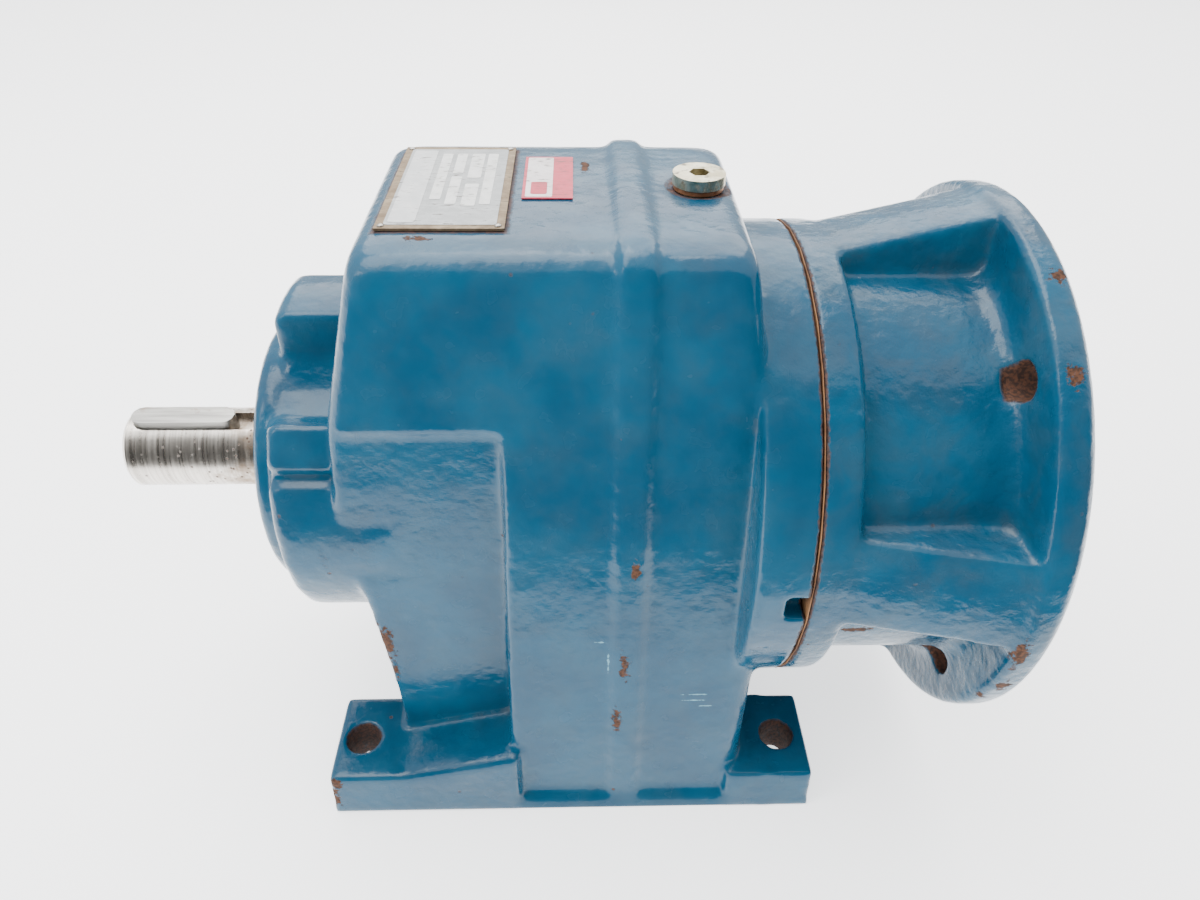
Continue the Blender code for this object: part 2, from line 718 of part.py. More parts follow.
# ---- bearings, seals and rings -----------------------------------------------------------


def make_bearing(name, size, axis, height):
    """An outer ring that stays in its seat, and an inner ring with its balls that turns."""
    x0, width, bore, outer, balls = size
    x1 = x0 + width
    middle = 0.5 * (x0 + x1)
    pitch = 0.5 * (bore + outer)
    third = (outer - bore) / 3.2
    ball = 0.5 * (outer - bore) * 0.56
    seat = outer - third
    dip = pitch + ball + GAP
    race = ((x0, seat), (x0, outer), (x1, outer), (x1, seat), (middle + ball + 0.4, seat))
    race += ((middle + 0.6 * ball, dip), (middle - 0.6 * ball, dip), (middle - ball - 0.4, seat))
    ring = turned(name + "_outer_ring", race, 20)
    finish(ring, "bearing_steel", BRIGHT_STEEL, None, height)
    land = bore + third
    inner = ((x0, bore + GAP), (x0, land), (middle, land - 0.6), (x1, land), (x1, bore + GAP))
    body = turned(name + "_inner_ring_and_balls", inner, 20)
    for i in range(balls):
        y, z = polar(pitch, 2 * math.pi * i / balls)
        builder = bmesh.new()
        bmesh.ops.create_uvsphere(builder, u_segments=6, v_segments=4, radius=ball)
        bmesh.ops.translate(builder, vec=(middle, y, z), verts=builder.verts)
        join(body, object_from("ball", builder))
    finish(body, "bearing_steel", BRIGHT_STEEL, axis)


def make_seal(name, x0, x1, inner, outer, height):
    """A lip seal: a rubber ring with a groove behind its lip."""
    middle = 0.5 * (inner + outer)
    outline = ((x0, inner + 1.5), (x0, outer), (x1, outer), (x1, middle + 3.0))
    outline += ((x0 + 2.0, middle + 2.0), (x0 + 2.0, middle - 2.0))
    outline += ((x1, inner + GAP + 1.2), (x1, inner + GAP))
    seal = turned(name, outline, 24)
    return finish(seal, "seal_rubber", RUBBER, None, height)


# ---- gears -------------------------------------------------------------------------------


def involute(angle):
    return math.tan(angle) - angle


def tooth_half_angle(radius, teeth, module):
    """Half of a tooth's angle at a radius, with its share of the backlash taken off."""
    pitch = 0.5 * module * teeth
    base = pitch * math.cos(PRESSURE_ANGLE)
    lean = math.acos(min(1.0, base / max(radius, base)))
    full = 0.5 * math.pi / teeth + involute(PRESSURE_ANGLE) - involute(lean)
    return full - 0.25 * BACKLASH / pitch


def gear_section(x, teeth, module, turn):
    """The toothed outline at x, with one tooth's middle at the given turn."""
    pitch = 0.5 * module * teeth
    root, tip = pitch - 1.2 * module, pitch + 0.85 * module
    corners = ((root, -1), (tip, -1), (tip, 1), (root, 1))
    points = []
    for i in range(teeth):
        middle = turn + 2 * math.pi * i / teeth
        for radius, side in corners:
            y, z = polar(radius, middle + side * tooth_half_angle(radius, teeth, module))
            points.append((x, y, z))
    return points


def helix_twist(width, teeth, module, hand):
    """How far each end of a helical gear is turned from its middle."""
    return hand * math.tan(HELIX_ANGLE) * width / (module * teeth)


def gear_body(name, x, teeth, module, turn, hand):
    """A helical gear between (start, end) along X, solid to its axis."""
    twist = helix_twist(x[1] - x[0], teeth, module, hand)
    first = gear_section(x[0], teeth, module, turn - twist)
    last = gear_section(x[1], teeth, module, turn + twist)
    return loft(name, (first, last))


def circle(x, radius, segments=20):
    turns = [0.05 + 2 * math.pi * i / segments for i in range(segments)]
    return [(x, *polar(radius, turn)) for turn in turns]


def edges_round(ring):
    """The edges that join a closed ring of vertices."""
    found = []
    for first, second in zip(ring, ring[1:] + ring[:1]):
        shared = [edge for edge in first.link_edges if edge.other_vert(first) is second]
        found.append(shared[0])
    return found


def make_wheel(name, x, teeth, module, turn, bore, key, axis):
    """A gear wheel with a dished web, a hub, a bore and a keyway of (half width, top)."""
    x0, x1 = x
    twist = helix_twist(x1 - x0, teeth, module, 1.0)
    hub = bore + 8.0
    rim = (0.5 * teeth - 2.6) * module
    depth = 0.28 * (x1 - x0)
    builder = bmesh.new()
    first = ring_of(builder, gear_section(x0, teeth, module, turn - twist))
    last = ring_of(builder, gear_section(x1, teeth, module, turn + twist))
    skin(builder, first, last)
    inside = ((x0, rim), (x0 + depth, rim), (x0 + depth, hub), (x0, hub), (x0, bore + GAP))
    inside += ((x1, bore + GAP), (x1, hub), (x1 - depth, hub), (x1 - depth, rim), (x1, rim))
    rings = [ring_of(builder, circle(x, radius)) for x, radius in inside]
    for near, far in zip(rings, rings[1:]):
        skin(builder, near, far)
    for toothed, plain in ((first, rings[0]), (last, rings[-1])):
        loose = edges_round(toothed) + edges_round(plain)
        bmesh.ops.triangle_fill(builder, edges=loose, use_beauty=True, normal=(1.0, 0.0, 0.0))
    wheel = object_from(name, builder)
    half = key[0] + GAP
    cut(wheel, block("keyway", (x0 - 1.0, x1 + 1.0), (-half, half), (0.0, key[1] + GAP)))
    return finish(wheel, "gear_steel", GEAR_STEEL, axis)


def round_ended(name, x0, x1, half_width, low, high, turn=0.0):
    """A bar with half-round ends, lying along X above the axis: a key or its cutter."""
    points = []
    for cx, start in ((x1 - half_width, -0.5 * math.pi), (x0 + half_width, 0.5 * math.pi)):
        for i in range(7):
            dx, dy = polar(half_width, start + math.pi * i / 6)
            points.append((cx + dx, dy))
    rings = [[(x, y, z) for x, y in points] for z in (low, high)]
    bar = loft(name, rings)
    bar.data.transform(Matrix.Rotation(turn, 4, "X"))
    return bar


def make_key(axis, *bar, turn=0.0):
    return finish(round_ended(*bar, turn=turn), "key_steel", BRIGHT_STEEL, axis)


# ---- output shaft ------------------------------------------------------------------------


def output_shaft_outline():
    """The shaft from its end: journal, seal land, collar, gear seat and rear journal."""
    end, radius = SHAFT_END, SHAFT_RADIUS
    seat_end = OUTPUT_GEAR[1] + GAP
    outline = [(end + 3.0, 0.0), (end, 3.2), (end, radius - 1.5), (end + 1.5, radius)]
    outline += [(SHAFT_SHOULDER, radius), (SHAFT_SHOULDER, 17.0), (SHAFT_SHOULDER + 0.5, 17.5)]
    outline += [(-79.0, 17.5), (-79.0, 22.0), (-70.0, 22.0), (-70.0, 17.5), (seat_end, 17.5)]
    outline += [(seat_end, 15.0), (-GAP, 15.0), (-GAP, 12.5), (18.0, 12.5)]
    return outline + [(19.0, 11.5), (19.0, 0.0)]


def make_output_shaft(axis):
    shaft = turned("output_shaft", output_shaft_outline(), 28)
    start, end = KEY_START, KEY_START + KEY_LENGTH
    half = 0.5 * KEY_WIDTH
    slot = (start - GAP, end + KEYWAY_SPARE, half + GAP, 11.0, 25.0)
    cut(shaft, round_ended("slot", *slot, turn=KEY_TURN))
    seat = (OUTPUT_GEAR[0] - GAP, OUTPUT_GEAR[1] - 1.0, 5.0 + GAP, 13.0, 30.0)
    cut(shaft, round_ended("slot", *seat))
    finish(shaft, "shaft_steel", BRIGHT_STEEL, axis)
    make_key(axis, "output_key", start, end, half, 11.3, KEY_TOP, turn=KEY_TURN)
    make_key(axis, "output_gear_key", OUTPUT_GEAR[0], OUTPUT_GEAR[1] - 1.4, 5.0, 13.3, 20.5)


def make_sleeve(name, x0, x1, inner, outer, axis):
    """A plain spacer between two parts on a shaft."""
    sleeve = turned(name, ((x0, inner), (x0, outer), (x1, outer), (x1, inner)), 24)
    return finish(sleeve, "spacer_steel", GEAR_STEEL, axis)


def make_output_side(axis):
    make_output_shaft(axis)
    turn = math.radians(-90.0)
    wheel = (OUTPUT_GEAR, OUTPUT_GEAR_TEETH, SECOND_MODULE, turn)
    make_wheel("output_gear", *wheel, 17.5, (5.0, 20.5), axis)
    make_sleeve("output_gear_spacer", -69.7, OUTPUT_GEAR[0] - GAP, 17.8, 21.5, axis)
    make_sleeve("output_rear_spacer", OUTPUT_GEAR[1] + 2 * GAP, 0.7, 15.3, 19.5, axis)
    make_bearing("output_front_bearing", OUTPUT_FRONT_BEARING, axis, SHAFT_HEIGHT)
    make_bearing("output_rear_bearing", OUTPUT_REAR_BEARING, axis, SHAFT_HEIGHT)
    make_seal("output_oil_seal", *OUTPUT_SEAL, 17.5, 31.0, SHAFT_HEIGHT)


# ---- layshaft ----------------------------------------------------------------------------


def layshaft_body():
    """The shaft with its pinion cut in one piece, and the seat of its gear's key."""
    turn = math.pi / 2 + math.pi / LAY_PINION_TEETH
    pinion = (LAY_PINION, LAY_PINION_TEETH, SECOND_MODULE, turn, -1.0)
    shaft = gear_body("layshaft_pinion", *pinion)
    front = [(-63.0, 0.0), (-63.0, 7.5), (-62.0, 8.5), (-47.8, 8.5), (-47.8, 10.3)]
    front += [(-46.0, 10.3), (-46.0, 0.0)]
    join(shaft, turned("front", front, 18))
    rear = [(-19.0, 0.0), (-19.0, 10.3), (1.5, 10.3), (1.5, 8.5), (42.2, 8.5), (42.2, 7.6)]
    rear += [(44.0, 7.6), (44.0, 8.5), (46.0, 8.5), (47.0, 7.5), (47.0, 0.0)]
    join(shaft, turned("rear", rear, 18))
    return cut(shaft, round_ended("slot", 24.0 - GAP, 38.0 + GAP, 2.5 + GAP, 5.5, 14.0))


def make_layshaft(axis):
    finish(layshaft_body(), "shaft_steel", GEAR_STEEL, axis)
    make_key(axis, "layshaft_gear_key", 24.0, 38.0, 2.5, 5.8, 10.6)
    turn = math.pi / 2 + math.pi / LAY_GEAR_TEETH
    wheel = (LAY_GEAR, LAY_GEAR_TEETH, FIRST_MODULE, turn)
    make_wheel("layshaft_gear", *wheel, 8.5, (2.5, 10.6), axis)
    make_sleeve("layshaft_spacer", 16.4, LAY_GEAR[0] - GAP, 8.8, 12.0, axis)
    make_circlip("layshaft_circlip", 42.5, 43.7, 7.9, 12.0, axis)
    make_bearing("layshaft_front_bearing", LAY_FRONT_BEARING, axis, LAY_HEIGHT)
    make_bearing("layshaft_rear_bearing", LAY_REAR_BEARING, axis, LAY_HEIGHT)


def make_circlip(name, x0, x1, inner, outer, axis):
    """An open retaining ring in a shaft groove."""
    ring = turned(name, ((x0, inner), (x0, outer), (x1, outer), (x1, inner)), 28)
    cut(ring, block("mouth", (x0 - 1.0, x1 + 1.0), (-2.0, 2.0), (0.0, outer + 2.0)))
    return finish(ring, "circlip_steel", BLACK_STEEL, axis)


# ---- input shaft and coupling ------------------------------------------------------------


def jaw(x0, x1, inner, outer, middle, half_angle):
    """One claw of a coupling hub: a ring sector along X."""
    rings = []
    for x in (x0, x1):
        points = [polar(outer, middle + half_angle * k) for k in (-1.0, -0.33, 0.33, 1.0)]
        points += [polar(inner, middle + half_angle * k) for k in (1.0, 0.33, -0.33, -1.0)]
        rings.append([(x, y, z) for y, z in points])
    return loft("jaw", rings)


def make_hub(name, body, claws, bore, first_claw):
    """A coupling hub with three claws and a bore."""
    hub = rod(name, *body, HUB_RADIUS, 32)
    for i in range(3):
        middle = first_claw + 2 * math.pi * i / 3
        join(hub, jaw(*claws, 9.5, HUB_RADIUS - 0.05, middle, math.radians(24)))
    cut(hub, rod("bore", body[0] - 1.0, body[1] + 1.0, bore, 28))
    return hub


def make_spider(axis):
    """The elastic star between the claws."""
    x0, x1 = INNER_HUB[1] + 0.5, OUTER_HUB[0] - 0.5
    spider = turned("coupling_spider", ((x0, 5.0), (x0, 9.0), (x1, 9.0), (x1, 5.0)), 24)
    for i in range(6):
        middle = math.radians(60.0 * i)
        join(spider, jaw(x0, x1, 7.0, HUB_RADIUS - 1.0, middle, math.radians(4.6)))
    return finish(spider, "spider_elastomer", SPIDER, axis)


def make_input_shaft(axis):
    pinion = (INPUT_PINION, PINION_TEETH, FIRST_MODULE, math.radians(-90.0), -1.0)
    shaft = gear_body("input_shaft", *pinion)
    outline = [(41.5, 0.0), (41.5, 10.0), (46.0, 10.0), (46.0, 15.0), (59.7, 15.0)]
    outline += [(59.7, 12.5), (78.0, 12.5), (78.0, 11.0), (104.0, 11.0), (104.0, 9.0)]
    outline += [(116.5, 9.0), (117.5, 8.0), (117.5, 0.0)]
    join(shaft, turned("journal", outline, 20))
    return finish(shaft, "shaft_steel", GEAR_STEEL, axis)


def make_coupling(axis):
    """Two clawed hubs with the elastic star between them, and their set screws."""
    claws = (INNER_HUB[1] - 1.0, OUTER_HUB[0] - 0.4)
    inner = make_hub("gearbox_coupling_hub", INNER_HUB, claws, 9.3, math.pi / 2)
    cut_set_screw(inner, 111.0)
    finish(inner, "hub_steel", GEAR_STEEL, axis)
    claws = (INNER_HUB[1] + 0.4, OUTER_HUB[0] + 1.0)
    outer = make_hub("motor_coupling_hub", OUTER_HUB, claws, MOTOR_BORE, -math.pi / 2)
    length = (OUTER_HUB[0] - 1.0, OUTER_HUB[1] + 1.0)
    cut(outer, block("keyway", length, (-3.0, 3.0), (0.0, 12.3)))
    cut_set_screw(outer, 139.0)
    finish(outer, "hub_steel", GEAR_STEEL, axis)
    make_spider(axis)
    make_set_screw("gearbox_hub_set_screw", 111.0, 9.7, axis)
    make_set_screw("motor_hub_set_screw", 139.0, 12.9, axis)


def make_input_side(axis):
    make_input_shaft(axis)
    make_bearing("input_inner_bearing", INPUT_INNER_BEARING, axis, SHAFT_HEIGHT)
    make_bearing("input_outer_bearing", INPUT_OUTER_BEARING, axis, SHAFT_HEIGHT)
    make_seal("input_oil_seal", *INPUT_SEAL, 11.0, 26.0, SHAFT_HEIGHT)
    make_coupling(axis)


def cut_set_screw(hub, x):
    cut(hub, upright("thread", 5.0, HUB_RADIUS + 2.0, 2.5 + GAP, x, 0.0, 12))


def make_set_screw(name, x, low, axis):
    screw = upright(name, low, HUB_RADIUS - 0.6, 2.5, x, 0.0, 12)
    socket = loft("socket", (hexagon(1.4, HUB_RADIUS - 3.0), hexagon(1.4, HUB_RADIUS + 1.0)))
    socket.location.x = x * MM
    cut(screw, socket)
    return finish(screw, "screw_black", BLACK_STEEL, axis)


# ---- plates on the top -------------------------------------------------------------------


def make_plates():
    plate = block("nameplate", (-55.6, -17.8), (-31.5, 36.0), (218.25, 219.0))
    finish(plate, "nameplate_metal", PLATE)
    label = block("lubricant_label", (-14.0, 2.0), (-8.0, 28.0), (218.25, 218.6))
    finish(label, "label_film", LABEL)


def move_to_middle():
    """Moves everything along X, so that the origin is under the middle of the unit."""
    for obj in bpy.data.objects:
        if obj.parent is None:
            obj.location.x = MIDDLE * MM


def main():
    clear_scene()
    make_gear_case()
    make_motor_adaptor()
    make_joint_gasket()
    make_adaptor_screws()
    make_base_cover()
    for name, place in PLUG_PLACES.items():
        make_plug(name, place)
    make_plates()
    make_output_side(empty("output_axis", SHAFT_HEIGHT))
    make_layshaft(empty("layshaft_axis", LAY_HEIGHT))
    make_input_side(empty("input_axis", SHAFT_HEIGHT))
    move_to_middle()


main()
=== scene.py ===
"""Looks of the inline gear reducer: softened castings, worn blue paint, ground steel, plates.

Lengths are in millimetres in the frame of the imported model, and the helpers turn them into
metres. The castings are copies of their CAD solids with softened edges, and everything else
keeps its CAD shape.
"""

import json
import math

import bmesh
import bpy
import numpy as np
from mathutils import Matrix, Vector


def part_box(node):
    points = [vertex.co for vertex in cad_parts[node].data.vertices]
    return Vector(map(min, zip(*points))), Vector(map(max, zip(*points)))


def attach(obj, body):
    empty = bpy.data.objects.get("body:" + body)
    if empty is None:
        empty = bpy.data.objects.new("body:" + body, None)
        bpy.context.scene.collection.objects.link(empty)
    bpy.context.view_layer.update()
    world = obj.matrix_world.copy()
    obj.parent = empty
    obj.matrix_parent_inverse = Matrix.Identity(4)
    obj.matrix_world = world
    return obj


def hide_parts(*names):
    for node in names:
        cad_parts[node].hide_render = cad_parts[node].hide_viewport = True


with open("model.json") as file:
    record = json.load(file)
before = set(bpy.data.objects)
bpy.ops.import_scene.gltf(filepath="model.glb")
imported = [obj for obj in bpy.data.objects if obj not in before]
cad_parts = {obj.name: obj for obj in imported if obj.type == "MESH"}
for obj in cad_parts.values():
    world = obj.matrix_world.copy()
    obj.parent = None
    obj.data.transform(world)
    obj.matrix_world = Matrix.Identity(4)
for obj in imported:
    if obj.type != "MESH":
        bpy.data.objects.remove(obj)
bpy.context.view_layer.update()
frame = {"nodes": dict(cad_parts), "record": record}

MM = 0.001
NODES = frame["nodes"]

# Places along X in this frame, and the shaft line. SHIFT is the middle between the foot holes.
SHIFT = 7.75
AXIS_Z = 115.0
JOINT_X = SHIFT + 76.4
FLANGE_X = SHIFT + 151.0
FLANGE_BACK_X = SHIFT + 139.0
BOSS_X = SHIFT - 106.0
FOOT_HOLE = (82.5, 67.5)
FLANGE_HOLE = 82.5 * math.sqrt(0.5)
ADAPTOR_TURN = math.radians(-6)
FILLER_PLUG = (SHIFT + 42.6, 4.3)

# The turned surfaces of the castings: radius, and the facets of each in the CAD solid.
BOSS_LOBES = (61.0, 24)
BOSS_DISC = (51.0, 32)
NECK = (86.3, 44)
ADAPTOR_FACETS = 44
FACET_START = 0.07

# Distances from the shaft line: inside the seal seat and the bell, and out at the flange rim.
SEAT_REACH = 34.0
BELL_REACH = 50.0
RIM_REACH = 95.0

# The softened castings: mesh size, and how often their points are relaxed.
VOXEL = 0.95 * MM
RELAX_ROUNDS = 16

# Camera: where it stands, and its yaw, tilt below the horizon and roll.
CAMERA_AT = (SHIFT + 2.93, -265.95, 323.74)
CAMERA_YAW = 0.034
CAMERA_TILT = 0.672
CAMERA_ROLL = 0.016
LENS = 25.77


# ---- node materials ----------------------------------------------------------------------


class Surface:
    """A node material under construction. Each call adds one node and returns its output."""

    def __init__(self, name):
        self.material = bpy.data.materials.new(name)
        self.material.use_nodes = True
        self.tree = self.material.node_tree
        self.shader = self.tree.nodes["Principled BSDF"]
        self.at = self.tree.nodes.new("ShaderNodeTexCoord").outputs["Object"]

    def put(self, socket, value):
        if isinstance(value, bpy.types.NodeSocket):
            self.tree.links.new(value, socket)
        elif value is not None:
            socket.default_value = value

    def set(self, **values):
        for name, value in values.items():
            self.put(self.shader.inputs[name.replace("_", " ")], value)

    def math(self, operation, a, b=None, clamp=False):
        node = self.tree.nodes.new("ShaderNodeMath")
        node.operation = operation
        node.use_clamp = clamp
        self.put(node.inputs[0], a)
        self.put(node.inputs[1], b)
        return node.outputs[0]

    def spread(self, value, low, high, to_low=0.0, to_high=1.0):
        """Maps low..high to to_low..to_high, with smooth ends."""
        node = self.tree.nodes.new("ShaderNodeMapRange")
        node.interpolation_type = "SMOOTHSTEP"
        ends = (value, low, high, to_low, to_high)
        for socket, end in zip(node.inputs, ends):
            self.put(socket, end)
        return node.outputs[0]

    def mix(self, factor, a, b):
        node = self.tree.nodes.new("ShaderNodeMix")
        node.data_type = "RGBA"
        self.put(node.inputs["Factor"], factor)
        self.put(node.inputs[6], a if isinstance(a, bpy.types.NodeSocket) else (*a, 1.0))
        self.put(node.inputs[7], b if isinstance(b, bpy.types.NodeSocket) else (*b, 1.0))
        return node.outputs[2]

    def stretched(self, x, y, z):
        """The object coordinates, scaled on each axis."""
        node = self.tree.nodes.new("ShaderNodeMapping")
        node.inputs["Scale"].default_value = (x, y, z)
        self.put(node.inputs["Vector"], self.at)
        return node.outputs[0]

    def noise(self, scale, detail=2.0, at=None, rough=0.55, bend=0.0):
        node = self.tree.nodes.new("ShaderNodeTexNoise")
        self.put(node.inputs["Vector"], at or self.at)
        node.inputs["Scale"].default_value = scale
        node.inputs["Detail"].default_value = detail
        node.inputs["Roughness"].default_value = rough
        node.inputs["Distortion"].default_value = bend
        return node.outputs[0]

    def cells(self, scale, at=None):
        """Distance to the nearest of many scattered points."""
        node = self.tree.nodes.new("ShaderNodeTexVoronoi")
        self.put(node.inputs["Vector"], at or self.at)
        node.inputs["Scale"].default_value = scale
        return node.outputs["Distance"]

    def axes(self):
        node = self.tree.nodes.new("ShaderNodeSeparateXYZ")
        self.put(node.inputs[0], self.at)
        return node.outputs

    def pointiness(self):
        return self.tree.nodes.new("ShaderNodeNewGeometry").outputs["Pointiness"]

    def away(self, a, b, x, y):
        """Distance in the plane of two coordinates from the point (x, y), in metres."""
        dx = self.math("SUBTRACT", a, x * MM)
        dy = self.math("SUBTRACT", b, y * MM)
        square = self.math("ADD", self.math("MULTIPLY", dx, dx), self.math("MULTIPLY", dy, dy))
        return self.math("SQRT", square)

    def vector(self, operation, a, b):
        node = self.tree.nodes.new("ShaderNodeVectorMath")
        node.operation = operation
        self.put(node.inputs[0], a)
        self.put(node.inputs[1], b)
        return node.outputs["Value" if operation == "DISTANCE" else "Vector"]

    def near(self, place, reach, ragged):
        """One inside a ragged blot of this half length, width and height, zero outside it."""
        squeeze = Vector([1.0 / (side * MM) for side in reach])
        scaled = self.vector("MULTIPLY", self.at, squeeze)
        away = self.vector("DISTANCE", scaled, Vector(place) * MM * squeeze)
        edge = self.math("ADD", away, self.math("MULTIPLY", ragged, 2.4))
        return self.spread(edge, 2.0, 1.75)

    def highest(self, values):
        top = values[0]
        for value in values[1:]:
            top = self.math("MAXIMUM", top, value)
        return top

    def bump(self, height, strength, distance, under=None):
        node = self.tree.nodes.new("ShaderNodeBump")
        node.inputs["Strength"].default_value = strength
        node.inputs["Distance"].default_value = distance * MM
        self.put(node.inputs["Height"], height)
        self.put(node.inputs["Normal"], under)
        return node.outputs[0]


DEEP_BLUE = (0.0014, 0.052, 0.104)
BLUE = (0.0026, 0.069, 0.130)
PALE_BLUE = (0.045, 0.190, 0.280)
RUST = (0.105, 0.042, 0.020)
DARK_RUST = (0.036, 0.017, 0.010)
GRIME = (0.075, 0.062, 0.045)
SCRATCHED = (0.16, 0.40, 0.50)

# Knocks through to the iron: (place from the middle of the case, half length, width, height).
CASE_CHIPS = (
    ((-68.5, -61.0, 70.0), (5.0, 6.0, 12.0)),
    ((-66.5, -64.0, 55.0), (4.0, 5.0, 8.0)),
    ((-92.5, -87.0, 9.0), (4.0, 5.0, 8.0)),
    ((-91.0, -86.0, 17.0), (5.0, 4.0, 3.0)),
    ((19.0, -79.0, 78.0), (3.0, 3.0, 10.0)),
    ((17.0, -82.0, 50.0), (2.5, 3.0, 9.0)),
    ((22.0, -71.0, 118.0), (2.0, 3.0, 6.0)),
    ((-22.0, -82.0, 62.0), (2.5, 4.0, 8.0)),
    ((-42.0, -36.0, 218.0), (5.0, 2.0, 2.0)),
    ((6.0, 20.0, 218.0), (2.0, 6.0, 2.0)),
)
ADAPTOR_CHIPS = (
    ((145.0, -66.0, 191.0), (4.0, 4.0, 6.0)),
    ((141.0, -99.0, 108.0), (3.0, 4.0, 9.0)),
    ((143.0, -97.0, 88.0), (3.0, 4.0, 6.0)),
    ((139.0, -93.0, 76.0), (4.0, 4.0, 4.0)),
    ((146.0, -38.0, 207.0), (4.0, 4.0, 4.0)),
    ((99.0, -74.0, 92.0), (7.0, 4.0, 2.5)),
    ((84.0, -84.0, 60.0), (4.0, 3.0, 3.0)),
)
# Light scratches on the near side of the case: (place, half length, width, height).
SCRATCHES = (
    ((10.5, -78.0, 86.0), (4.0, 6.0, 0.5)),
    ((13.5, -79.0, 78.0), (0.5, 6.0, 7.0)),
    ((45.0, -80.0, 60.0), (6.0, 6.0, 0.4)),
    ((45.0, -80.0, 57.0), (5.0, 6.0, 0.4)),
    ((50.0, -80.0, 54.0), (4.0, 6.0, 0.4)),
    ((60.0, -72.0, 100.0), (1.2, 6.0, 1.6)),
)


def blots(s, places, ragged):
    """A mask of ragged blots, placed from the middle between the foot holes."""
    middle = Vector((SHIFT, 0.0, 0.0))
    return s.highest([s.near(middle + Vector(at), reach, ragged) for at, reach in places])


def paint(name, chips, scars, coarse=1.0, scratches=()):
    """Thick gloss paint over a rough casting, with chips, rust at edges and holes, dirt, and pale
    convex edges that are partly rubbed paint and partly a painted highlight.

    scars adds the masks that belong to one casting: each takes the Surface and a ragged noise.
    """
    s = Surface(name)
    slow = s.noise(34.0, 3.0)
    blue = s.mix(s.spread(slow, 0.35, 0.68), DEEP_BLUE, BLUE)
    point = s.pointiness()
    ragged = s.noise(420.0, 4.0, rough=0.65)
    patchy = s.noise(70.0, 3.0, bend=0.6)
    # Convex edges turn pale blue: partly paint rubbed thin, partly a painted highlight along the
    # edges.
    rubbed_and_highlit_edge = s.math("MULTIPLY", s.spread(point, 0.515, 0.575), s.spread(patchy, 0.40, 0.62))
    blue = s.mix(s.math("MULTIPLY", rubbed_and_highlit_edge, 0.55), blue, PALE_BLUE)
    if scratches:
        blue = s.mix(s.math("MULTIPLY", blots(s, scratches, ragged), 0.7), blue, SCRATCHED)
    # Dust lies in the hollows, and in thin patches all over.
    hollow = s.spread(point, 0.492, 0.455)
    dirt = s.math("MULTIPLY", hollow, s.spread(patchy, 0.38, 0.60))
    blue = s.mix(s.math("MULTIPLY", dirt, 0.35), blue, GRIME)
    blue = s.mix(s.spread(patchy, 0.35, 0.70, 0.0, 0.10 * coarse), blue, GRIME)
    # Specks of rust all over, and patches at the chips.
    specks = s.spread(s.cells(95.0), 0.085, 0.045)
    specks = s.math("MULTIPLY", specks, s.spread(patchy, 0.54, 0.66))
    knocked = blots(s, chips, ragged)
    sharp = s.math("MULTIPLY", s.spread(point, 0.545, 0.60), s.spread(ragged, 0.60, 0.68))
    sharp = s.math("MULTIPLY", sharp, s.spread(patchy, 0.55, 0.68))
    bare = s.highest([specks, knocked, sharp] + [scar(s, ragged) for scar in scars])
    rust = s.mix(s.spread(s.noise(900.0, 2.0), 0.35, 0.65), DARK_RUST, RUST)
    s.set(Base_Color=s.mix(bare, blue, rust))
    smooth = s.spread(s.noise(120.0, 2.0), 0.3, 0.7, 0.16, 0.28)
    rough = s.math("ADD", smooth, s.math("MULTIPLY", bare, 0.55))
    s.set(Roughness=s.math("ADD", rough, s.math("MULTIPLY", dirt, 0.25), clamp=True))
    s.set(Coat_Weight=s.math("SUBTRACT", 0.15, bare, clamp=True), Coat_Roughness=0.07)
    s.set(Specular_IOR_Level=0.27)
    cast = s.bump(s.noise(260.0, 3.0, rough=0.5), 0.6, 0.42 * coarse)
    peel = s.bump(s.noise(75.0, 2.0), 0.6, 1.0 * coarse, cast)
    s.set(Normal=s.bump(bare, 0.5, -0.25, peel))
    return s.material


def foot_hole_rust(s, ragged):
    """Rust in and round the four foot holes."""
    x, y, _ = s.axes()
    side = s.math("ABSOLUTE", s.math("SUBTRACT", x, SHIFT * MM))
    away = s.away(side, s.math("ABSOLUTE", y), *FOOT_HOLE)
    edge = s.math("ADD", away, s.math("MULTIPLY", ragged, 0.0016))
    return s.spread(edge, 8.1 * MM, 7.2 * MM, 0.0, 0.9)


def joint_rust(s, ragged):
    """Rust and old sealant along the joint, on the round neck only."""
    x, y, z = s.axes()
    away = s.math("ABSOLUTE", s.math("SUBTRACT", x, JOINT_X * MM))
    edge = s.math("SUBTRACT", away, s.math("MULTIPLY", ragged, 0.0024))
    neck = s.spread(s.away(y, z, 0.0, AXIS_Z), 89.0 * MM, 87.5 * MM)
    return s.math("MULTIPLY", neck, s.spread(edge, 0.35 * MM, -0.35 * MM, 0.0, 0.85))


def spotface_grime(s, ragged):
    """Oily dirt on the machined spot round the filler plug."""
    x, y, _ = s.axes()
    away = s.away(x, y, *FILLER_PLUG)
    ring = s.spread(away, 11.4 * MM, 10.4 * MM)
    return s.math("MULTIPLY", ring, s.spread(ragged, 0.30, 0.62, 0.35, 0.95))


def plate_edge_grime(s, ragged):
    """Old glue and rust round the nameplate."""
    low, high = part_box("nameplate")
    x, y, z = s.axes()
    middle = (low + high) / 2
    half = (high - low) / 2
    dx = s.math("SUBTRACT", s.math("ABSOLUTE", s.math("SUBTRACT", x, middle.x)), half.x)
    dy = s.math("SUBTRACT", s.math("ABSOLUTE", s.math("SUBTRACT", y, middle.y)), half.y)
    outside = s.math("SUBTRACT", s.math("MAXIMUM", dx, dy), s.math("MULTIPLY", ragged, 0.002))
    ring = s.spread(outside, 0.9 * MM, -0.6 * MM, 0.0, 0.8)
    return s.math("MULTIPLY", ring, s.spread(z, 0.212, 0.216))


